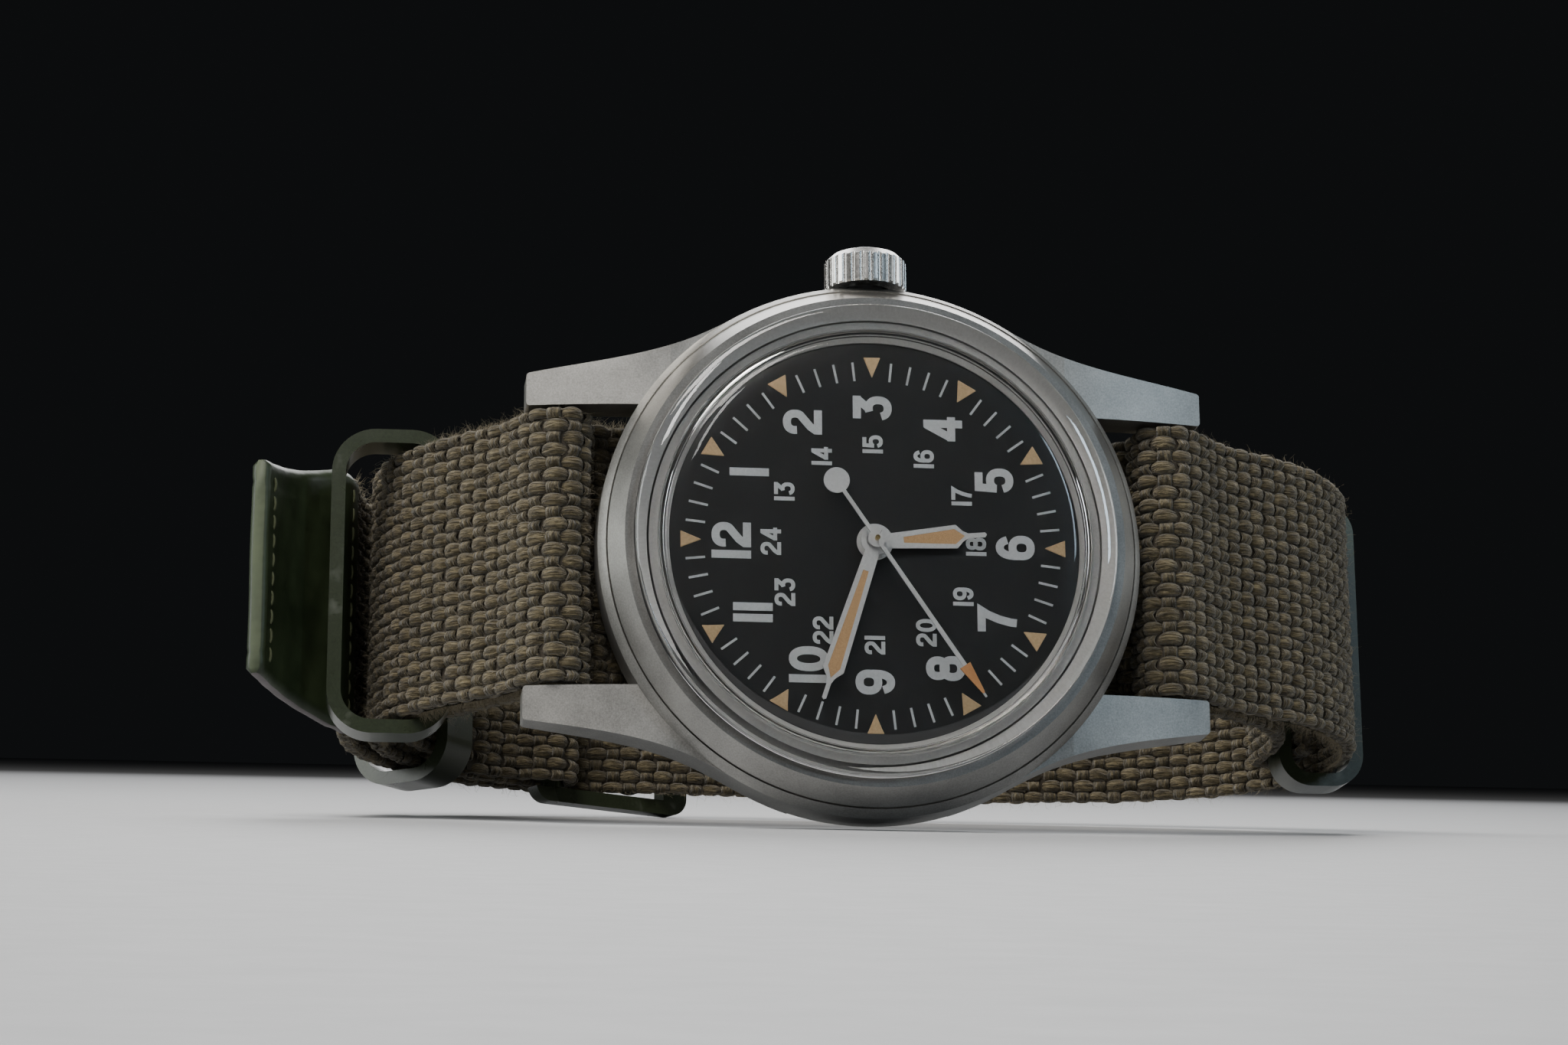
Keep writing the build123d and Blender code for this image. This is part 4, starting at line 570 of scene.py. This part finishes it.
def stroke_prism(path, closed, width, low, high):
    """Vertices and faces of one raised stroke, drawn in the X, Y plane."""
    left, right = ribbon(path, width, closed)
    count = len(left)
    verts = []
    for level in (low, high):
        for point in left:
            verts.append((point[0], point[1], level))
        for point in right:
            verts.append((point[0], point[1], level))
    faces = []
    spans = count if closed else count - 1
    for i in range(spans):
        j = (i + 1) % count
        l0, l1, r0, r1 = i, j, count + i, count + j
        up = 2 * count
        faces.append((r0 + up, r1 + up, l1 + up, l0 + up))
        faces.append((l0, l1, r1, r0))
        faces.append((l0 + up, l1 + up, l1, l0))
        faces.append((r1 + up, r0 + up, r0, r1))
    if not closed:
        up = 2 * count
        faces.append((0, count, count + up, up))
        faces.append((count - 1, count - 1 + up, 2 * count - 1 + up, 2 * count - 1))
    return verts, faces


def on_dial(points, centre):
    """Upright glyph coordinates (right, up) to bench X, Y: 12 o'clock is up and lies at -X."""
    return [(centre[0] - up, centre[1] + right, level) for right, up, level in points]


def number_width(text, height, ratio, stroke):
    """Widths of a number's digits and the gaps between them."""
    widths = [stroke if digit == "1" else height * ratio for digit in text]
    return widths, height * 0.085


def write_number(text, centre, height, stroke, ratio, store):
    """Add a number, centred and upright, to the store of print."""
    verts, faces = store
    widths, gap = number_width(text, height, ratio, stroke)
    start = -(sum(widths) + gap * (len(text) - 1)) / 2
    for digit, width in zip(text, widths):
        middle = start + width / 2
        for layer, (path, closed) in enumerate(digit_strokes(digit, ratio / 2, stroke / height)):
            scaled = [(middle + x * height, (y - 0.5) * height) for x, y in path]
            made, table = stroke_prism(scaled, closed, stroke, PRINT_FOOT, PRINT_H + PRINT_LAYER * layer)
            base = len(verts)
            verts.extend(on_dial(made, centre))
            faces.extend([tuple(base + k for k in face) for face in table])
        start += width + gap


# number, degrees round from 12 o'clock, distance from the dial's centre
HOUR_CENTRES = [
    ("12", 0.0, 9.88), ("1", 29.6, 9.92), ("2", 60.3, 9.90), ("3", 90.0, 9.75),
    ("4", 120.5, 9.75), ("5", 150.6, 9.75), ("6", 180.0, 9.90), ("7", 211.0, 9.95),
    ("8", 240.6, 9.95), ("9", 270.0, 9.75), ("10", 298.0, 9.75), ("11", 329.0, 9.80),
]


def make_print():
    """Minute track and the two rings of numbers."""
    store = ([], [])
    verts, faces = store
    for minute in range(60):
        if minute % 5 == 0:
            continue
        turn = math.radians(minute * 6)
        path = [(r * math.sin(turn), r * math.cos(turn)) for r in (TICK_IN, TICK_OUT)]
        made, table = stroke_prism(path, False, TICK_W, PRINT_FOOT, PRINT_H)
        base = len(verts)
        verts.extend(on_dial(made, (0, 0)))
        faces.extend([tuple(base + k for k in face) for face in table])
    for text, clock, distance in HOUR_CENTRES:
        turn = math.radians(clock)
        centre = (-distance * math.cos(turn), distance * math.sin(turn))
        write_number(text, centre, HOUR_SIZE, HOUR_STROKE, HOUR_RATIO, store)
    for hour in range(13, 25):
        turn = math.radians((hour - 12) * 30)
        centre = (-DAY_R * math.cos(turn), DAY_R * math.sin(turn))
        write_number(str(hour), centre, DAY_SIZE, DAY_STROKE, DAY_RATIO, store)
    mesh_object("dial_print", verts, faces, M_PRINT, smooth=False)


def make_triangles():
    """Twelve luminous triangles, points inward, thicker than the print and slightly domed."""
    verts, faces = [], []
    for hour in range(12):
        turn = math.radians(hour * 30)
        half = TRIANGLE_HALF_QUARTER if hour % 3 == 0 else TRIANGLE_HALF
        corners = [(-half, TRIANGLE_OUT), (half, TRIANGLE_OUT), (0.0, TRIANGLE_IN)]
        base = len(verts)
        rounded = []
        middle = (0.0, (2 * TRIANGLE_OUT + TRIANGLE_IN) / 3)
        for k in range(3):
            here, nxt, prev = corners[k], corners[(k + 1) % 3], corners[(k - 1) % 3]
            for share in (0.10, 0.03):
                rounded.append((here[0] + (prev[0] - here[0]) * share, here[1] + (prev[1] - here[1]) * share))
            for share in (0.03, 0.10):
                rounded.append((here[0] + (nxt[0] - here[0]) * share, here[1] + (nxt[1] - here[1]) * share))
        count = len(rounded)
        for scale, level in ((1.0, 0.004), (1.0, 0.05), (0.86, 0.075)):
            for x, y in rounded:
                x = middle[0] + (x - middle[0]) * scale
                y = middle[1] + (y - middle[1]) * scale
                right = x * math.cos(turn) + y * math.sin(turn)
                up = -x * math.sin(turn) + y * math.cos(turn)
                verts.append((-up, right, level))
        for ring in range(2):
            for k in range(count):
                n = (k + 1) % count
                low = base + ring * count
                faces.append((low + k, low + n, low + count + n, low + count + k))
        faces.append(tuple(base + 2 * count + k for k in range(count)))
        faces.append(tuple(base + k for k in reversed(range(count))))
    mesh_object("dial_triangles", verts, faces, M_TRIANGLE, smooth=False)


# ---------------------------------------------------------------- canvas


def in_tongue_slot(x, y, z):
    """True where the buckle's tongue needs the canvas open."""
    hit = np.zeros(len(x), bool)
    for (left, right), (bottom, top) in SLOTS_FOR_TONGUE:
        hit |= (x > left) & (x < right) & (z > bottom) & (z < top)
    return hit & (np.abs(y) < TONGUE_GAP)


class Tubes:
    """Gathers many yarns into one mesh."""

    def __init__(self, sides):
        self.sides = sides
        self.verts = []
        self.faces = []
        self.uvs = []
        self.count = 0

    def add(self, centres, side, up, half_w, half_t, along, seed):
        """One yarn: its middle points, its sideways and upward directions and its half sizes."""
        sides = self.sides
        turn = np.linspace(0, 2 * math.pi, sides, endpoint=False)
        rings = len(centres)
        ring_w = np.asarray(half_w, float).reshape(-1, 1, 1) * np.cos(turn)[None, :, None]
        ring_t = np.asarray(half_t, float).reshape(-1, 1, 1) * np.sin(turn)[None, :, None]
        verts = centres[:, None, :] + side[:, None, :] * ring_w + up[:, None, :] * ring_t
        first = self.count
        self.verts.append(verts.reshape(-1, 3))
        grid = first + np.arange(rings * sides).reshape(rings, sides)
        nxt = np.roll(grid, -1, axis=1)
        quads = np.stack([grid[:-1], nxt[:-1], nxt[1:], grid[1:]], axis=-1).reshape(-1, 4)
        self.faces.append(quads)
        for ring, order in ((grid[0], -1), (grid[-1], 1)):
            loop = ring[::order]
            for k in range(1, sides - 2, 2):
                self.faces.append(np.array([[loop[0], loop[k], loop[k + 1], loop[k + 2]]]))
        u = np.repeat(along / 0.62 + seed, sides)
        v = np.tile(np.abs(turn / (2 * math.pi) * 2 - 1) * 2.2, rings)
        self.uvs.append(np.stack([u, v], axis=1))
        self.count += rings * sides

    def piece(self, name, material, slot):
        verts, faces, uvs = (np.concatenate(part) for part in (self.verts, self.faces, self.uvs))
        return mesh_object(name, verts, faces, material, uv=uvs)


def wander(marks, grain):
    """A smooth random walk along the band, about one unit high, changing every grain mm."""
    knots = rng.normal(0, 1, int(marks[-1] / grain) + 3)
    return np.interp(marks / grain, np.arange(len(knots)), knots)


def weave(name, route, width, step, sides, spans=1):
    """A plain weave of thick yarns along a route, its warp split into spans pieces of equal length.

    Gives the pieces and the band's geometry: marks, middle line, outward normals and lengthways directions.
    """
    marks, spots, ways = natural_spline(route, step)
    zeros = np.zeros(len(marks))
    normal = np.stack([ways[:, 1], zeros, -ways[:, 0]], axis=1)
    along = np.stack([ways[:, 0], zeros, ways[:, 1]], axis=1)
    across_way = np.tile(np.array([0.0, 1.0, 0.0]), (len(marks), 1))
    rows = int(round(width / YARN_PITCH))
    pitch = width / rows
    warp_rows = []
    for row in range(rows):
        y = (row + 0.5) * pitch - width / 2
        phase = math.pi * (row % 2)
        drift = 0.10 * np.sin(marks / 7.0 + row * 1.7) + rng.normal(0, 0.05)
        swing = np.cos(math.pi * (marks + drift) / FLOAT + phase)
        shaped = np.sign(swing) * np.abs(swing) ** 0.80
        wobble = wander(marks, 2.0)
        lift = WEAVE_RISE * shaped * (1 + 0.10 * wander(marks, 1.8)) + 0.02 * wobble
        place_y = y + 0.045 * wander(marks, 2.4)
        edge = 0.86 if row in (0, rows - 1) else 1.0
        girth = edge * (1 + 0.07 * wobble)
        warp_rows.append((place_y, lift, swing, girth, rng.uniform(0, 50)))
    lengths = np.linspace(0, len(marks) - 1, spans + 1).astype(int)
    pieces = []
    for span in range(spans):
        a, b = lengths[span], lengths[span + 1] + 1
        tubes = Tubes(sides)
        for place_y, lift, swing, girth, seed in warp_rows:
            centres = np.stack([spots[:, 0], place_y, spots[:, 1]], axis=1) + normal * lift[:, None]
            plump = 1.0 + 0.10 * np.abs(swing) - 0.10 * (1 - np.abs(swing)) ** 2
            keep = ~in_tongue_slot(centres[:, 0], centres[:, 1], centres[:, 2])
            runs = np.split(np.arange(a, b), np.where(np.diff(keep[a:b].astype(int)) != 0)[0] + 1)
            for run in runs:
                if len(run) < 3 or not keep[run[0]]:
                    continue
                slope = np.gradient(centres[run], axis=0)
                slope /= np.linalg.norm(slope, axis=1)[:, None]
                up = np.cross(slope, across_way[run])
                up *= np.sign((up * normal[run]).sum(axis=1))[:, None]
                tubes.add(
                    centres[run], across_way[run], up, YARN_HALF_W * (girth * plump)[run],
                    YARN_HALF_T * plump[run], marks[run], seed,
                )
        pieces.append(tubes.piece(f"{name}_warp_{span + 1}", M_WARP, "canvas"))
    wefts = [Tubes(sides), Tubes(sides)]
    fine_y = np.linspace(-width / 2 + 0.10, width / 2 - 0.10, rows * 4 + 1)
    count = int(marks[-1] / FLOAT)
    for k in range(count):
        at = (k + 1.0) * FLOAT
        if at > marks[-1] - 0.3:
            break
        here = int(round(at / marks[-1] * (len(marks) - 1)))
        row_at = (fine_y + width / 2) / pitch - 0.5
        swing = np.cos(math.pi * row_at) * (-1) ** (k + 1)
        lift = -WEFT_RISE * swing + 0.02 * rng.normal(0, 1, len(fine_y))
        centres = np.stack([
            np.full(len(fine_y), spots[here, 0]), fine_y, np.full(len(fine_y), spots[here, 1])
        ], axis=1) + normal[here][None, :] * lift[:, None]
        keep = ~in_tongue_slot(centres[:, 0], centres[:, 1], centres[:, 2])
        runs = np.split(np.arange(len(fine_y)), np.where(np.diff(keep.astype(int)) != 0)[0] + 1)
        for run in runs:
            if len(run) < 3 or not keep[run[0]]:
                continue
            side = np.tile(along[here], (len(run), 1))
            up = np.tile(normal[here], (len(run), 1))
            half_w = np.full(len(run), WEFT_HALF_W)
            half_t = np.full(len(run), WEFT_HALF_T)
            wefts[k % 2].add(centres[run], side, up, half_w, half_t, fine_y[run], rng.uniform(0, 50))
    for number, weft in enumerate(wefts):
        pieces.append(weft.piece(f"{name}_weft_{number + 1}", M_WEFT, "canvas"))
    return pieces, (marks, spots, normal, along)


def band(name, route, width, thickness, material):
    """A plain thin core inside the weave, so that no light shows through it; its dark brown is painted shade for
    the shadow deep between the yarns.
    """
    marks, spots, ways = natural_spline(route, CORE_STEP)
    normal = np.stack([ways[:, 1], np.zeros(len(marks)), -ways[:, 0]], axis=1)
    corners = []
    for side, up in ((-1, -1), (1, -1), (1, 1), (-1, 1)):
        base = np.stack([spots[:, 0], np.full(len(marks), side * width / 2), spots[:, 1]], axis=1)
        corners.append(base + normal * (up * thickness / 2))
    verts = np.stack(corners, axis=1).reshape(-1, 3)
    faces = []
    for i in range(len(marks) - 1):
        for k in range(4):
            n = (k + 1) % 4
            faces.append((i * 4 + k, i * 4 + n, (i + 1) * 4 + n, (i + 1) * 4 + k))
    faces.append((0, 3, 2, 1))
    last = (len(marks) - 1) * 4
    faces.append((last, last + 1, last + 2, last + 3))
    mesh_object(name, verts, faces, material, smooth=False)


def fuzz(name, geometry, ranges, width, amount):
    """Loose cotton fibres standing off the canvas, as thin bent three-sided hairs.

    Each range is from and to, in mm along the band, and its share of the amount.
    """
    marks, spots, normal, along = geometry
    verts, faces = [], []
    base = 0
    for start, end, share in ranges:
        for _ in range(int(amount * share)):
            s = rng.uniform(start, end)
            here = min(len(marks) - 1, int(round(s / marks[-1] * (len(marks) - 1))))
            edge = rng.random() < 0.30
            outward = 1 if edge else rng.choice([1, 1, 1, -1])
            y = rng.choice([-1, 1]) * (width / 2 - 0.05) if edge else rng.uniform(-width / 2, width / 2)
            root = np.array([spots[here, 0], y, spots[here, 1]]) + normal[here] * (outward * FIBRE_ROOT)
            lean = along[here] * rng.normal(0, 0.8) + np.array([0, 1, 0]) * rng.normal(0, 0.5)
            if edge:
                lean = lean + np.array([0, math.copysign(0.9, y), 0])
            first = normal[here] * outward * rng.uniform(0.4, 1.0) + lean
            first /= np.linalg.norm(first)
            bend = first + rng.normal(0, 0.7, 3)
            bend /= np.linalg.norm(bend)
            length = rng.uniform(0.35, 1.20)
            path = [root, root + first * length * 0.35, root + first * length * 0.35 + bend * length * 0.40]
            path.append(path[2] + (bend * 0.5 + rng.normal(0, 0.5, 3)) * length * 0.4)
            side = np.cross(first, [0.3, 0.5, 0.8])
            side /= np.linalg.norm(side)
            other = np.cross(first, side)
            thick = rng.uniform(0.007, 0.014)
            for level, point in enumerate(path):
                radius = thick * (1 - 0.25 * level)
                for turn in (0.0, 2.094, 4.189):
                    verts.append(point + radius * (math.cos(turn) * side + math.sin(turn) * other))
            for level in range(3):
                for k in range(3):
                    n = (k + 1) % 3
                    low = base + level * 3
                    faces.append((low + k, low + n, low + 3 + n, low + 3 + k))
            base += 12
    mesh_object(name, verts, np.array(faces), M_FUZZ)


def make_canvas():
    """The woven bands, their cores and their loose fibres."""
    band("strap_core", CANVAS_ROUTE, STRAP_W - CORE_NARROWER, CORE_T, M_CORE_SHADE)
    pieces, geometry = weave("strap", CANVAS_ROUTE, STRAP_W, 0.165, 8, spans=3)
    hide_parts("strap_canvas")
    band("under_core", UNDER_ROUTE, UNDER_W - CORE_NARROWER, CORE_T, M_CORE_SHADE)
    under, under_geometry = weave("under", UNDER_ROUTE, UNDER_W, 0.22, 6)
    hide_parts("under_strap")
    total = geometry[0][-1]
    for number in (1, 2):
        fuzz(f"strap_fibres_left_{number}", geometry, [(36, 72, 1.0)], STRAP_W, 9000)
    fuzz("strap_fibres_right", geometry, [(108, 150, 0.65), (150, total, 0.35)], STRAP_W, 9000)
    fuzz("under_fibres", under_geometry, [(0, under_geometry[0][-1], 1.0)], UNDER_W, 4000)


# ---------------------------------------------------------------- leather end


def leather_half_width(x):
    """Half the width of the leather, which tapers once it has turned outward."""
    share = min(1.0, max(0.0, (LEATHER_TAPER_X - x) / LEATHER_TAPER_RUN))
    return LEATHER_W / 2 + (LEATHER_TIP_HALF - LEATHER_W / 2) * share


def make_leather():
    """The leather end: rounded edges, a stitched line across and a pressed border."""
    marks, spots, ways = natural_spline(LEATHER_ROUTE, 0.22)
    normal = np.stack([ways[:, 1], np.zeros(len(marks)), -ways[:, 0]], axis=1)
    verts, faces, kinds = [], [], []
    half_t = LEATHER_T / 2 - 0.03
    across_count = 40
    ring = []
    for n in range(across_count + 1):
        ring.append((-1 + 2 * n / across_count, 1))
    for n in range(across_count, -1, -1):
        ring.append((-1 + 2 * n / across_count, -1))
    for i, mark in enumerate(marks):
        half = leather_half_width(spots[i, 0])
        end_round = min(1.0, (marks[-1] - mark) / 0.5 + 0.55)
        for u, face in ring:
            edge = (1 - abs(u)) * half
            round_off = math.sqrt(1 - (1 - min(1.0, edge / LEATHER_ROUND)) ** 2)
            groove = GROOVE_DEPTH * math.exp(-((edge - GROOVE_IN) / GROOVE_HALF_W) ** 2)
            pucker = 0.02 * math.sin(mark * 2.7 + u * 5)
            out = face * (half_t * (0.45 + 0.55 * round_off) * end_round - groove) + pucker
            base = np.array([spots[i, 0], u * half, spots[i, 1]]) + normal[i] * out
            verts.append(base)
    width = len(ring)
    for i in range(len(marks) - 1):
        for k in range(width):
            n = (k + 1) % width
            faces.append((i * width + k, i * width + n, (i + 1) * width + n, (i + 1) * width + k))
            on_edge = k == across_count or k == width - 1
            kinds.append(1 if on_edge else 0)
    faces.append(tuple(range(width))[::-1])
    kinds.append(1)
    # the end face, in the olive edge paint drawn lighter as painted highlight
    last = (len(marks) - 1) * width
    faces.append(tuple(last + k for k in range(width)))
    kinds.append(2)
    piece = mesh_object("leather_end", verts, faces, M_LEATHER)
    piece.data.materials.append(M_LEATHER_EDGE)
    piece.data.materials.append(M_LEATHER_END_PAINT_AND_LIGHT)
    for polygon, kind in zip(piece.data.polygons, kinds):
        polygon.material_index = kind
    smooth_by_angle(piece, 60)
    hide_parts("strap_leather_end")
    for share in (0.10, 0.90):
        for face in (1, -1):
            stitch_line(marks, spots, ways, normal, share, face)


def stitch_line(marks, spots, ways, normal, share, face):
    """A row of thread stitches across the leather on one of its faces."""
    here = int(share * (len(marks) - 1))
    half = leather_half_width(spots[here, 0]) - 1.0
    tubes = Tubes(6)
    count = int(2 * half / STITCH_PITCH)
    for k in range(count):
        start = -half + (k + 0.12) * 2 * half / count
        end = -half + (k + 0.88) * 2 * half / count
        y = np.linspace(start, end, 9)
        arch = LEATHER_T / 2 - 0.10 + 0.13 * np.sin(np.linspace(0, math.pi, 9)) ** 0.6
        centres = np.stack([np.full(9, spots[here, 0]), y, np.full(9, spots[here, 1])], axis=1)
        centres = centres + normal[here][None, :] * arch[:, None] * face
        side = np.tile(np.array([ways[here, 0], 0.0, ways[here, 1]]), (9, 1))
        up = np.tile(normal[here], (9, 1))
        tubes.add(centres, side, up, np.full(9, 0.14), np.full(9, 0.10), y, k * 0.7)
    side_name = "outer" if face > 0 else "inner"
    tubes.piece(f"leather_stitch_{side_name}_{int(share * 100)}", M_THREAD, "leather")


# ---------------------------------------------------------------- stage, lights and camera


def make_stage():
    """A plain pale floor."""
    size = 3.0
    mesh = bpy.data.meshes.new("floor")
    mesh.from_pydata([(-size, -size, 0), (size, -size, 0), (size, size, 0), (-size, size, 0)], [], [(0, 1, 2, 3)])
    floor = bpy.data.objects.new("floor", mesh)
    scene.collection.objects.link(floor)
    mesh.materials.append(
        coated("floor_pale", (0.33, 0.335, 0.345), (0.36, 0.365, 0.375), (0.55, 0.65), fine_scale=400.0)
    )


def area_light(name, at, aim, size, power, colour=(1, 1, 1), tall=None):
    light = bpy.data.lights.new(name, "AREA")
    light.energy = power
    light.size = size
    if tall:
        light.shape = "RECTANGLE"
        light.size_y = tall
    light.color = colour
    lamp = bpy.data.objects.new(name, light)
    scene.collection.objects.link(lamp)
    lamp.location = at
    lamp.rotation_euler = (Vector(aim) - Vector(at)).to_track_quat("-Z", "Y").to_euler()


def make_lights():
    centre = (0.0, -0.01, 0.02)
    area_light("key_top", (-0.16, -0.14, 0.42), centre, 0.30, 3.2, (1.0, 0.965, 0.92), tall=0.20)
    area_light("left_streak", (-0.10, -0.36, 0.33), centre, 0.04, 0.30, (1.0, 0.99, 0.97), tall=0.10)
    area_light("right_streak", (0.24, -0.36, 0.25), centre, 0.03, 0.30, (0.66, 0.84, 1.0), tall=0.12)
    area_light("left_rim", (-0.42, 0.02, 0.16), centre, 0.24, 1.1, (0.97, 1.0, 0.98))
    area_light("right_rim", (0.45, 0.06, 0.14), centre, 0.24, 0.8, (0.90, 0.96, 1.0))
    area_light("back_top", (0.05, 0.42, 0.32), centre, 0.34, 1.8, (1.0, 1.0, 1.0))
    world = bpy.data.worlds.new("studio")
    scene.world = world
    world.use_nodes = True
    world.node_tree.nodes["Background"].inputs["Color"].default_value = (0.006, 0.0065, 0.007, 1.0)
    world.node_tree.nodes["Background"].inputs["Strength"].default_value = 1.0


CAMERA_TILT = -14.95        # degrees about the bench's X, Y and Z axes
CAMERA_TURN = 7.35
CAMERA_ROLL = 0.3
CAMERA_OFFSET = Vector((6.16, -1.585, -265.2))      # the dial's centre seen from the camera, mm
LENS = 87.890625            # mm, on a sensor SENSOR wide
SENSOR = 36


def make_camera():
    """A long lens a little below the dial, looking slightly up at it."""
    data = bpy.data.cameras.new("camera")
    data.lens = LENS
    data.sensor_width = SENSOR
    data.clip_start = 0.01
    data.clip_end = 20
    camera = bpy.data.objects.new("camera", data)
    scene.collection.objects.link(camera)
    turn = (
        Matrix.Rotation(math.radians(CAMERA_ROLL), 3, "Z")
        @ Matrix.Rotation(math.radians(CAMERA_TILT), 3, "X")
        @ Matrix.Rotation(math.radians(CAMERA_TURN), 3, "Y")
    )
    back = turn.transposed()
    spot = BENCH @ (-(back @ CAMERA_OFFSET))
    axes = Matrix((
        (1.0, crown_way.x, dial_normal.x),
        (0.0, crown_way.y, dial_normal.y),
        (0.0, crown_way.z, dial_normal.z),
    ))
    camera.matrix_world = Matrix.Translation(spot) @ (axes @ back).to_4x4()
    scene.camera = camera


# ---------------------------------------------------------------- build

dress_cad_nodes()
make_crystal()
make_print()
make_triangles()
make_canvas()
make_leather()
make_stage()
make_lights()
make_camera()
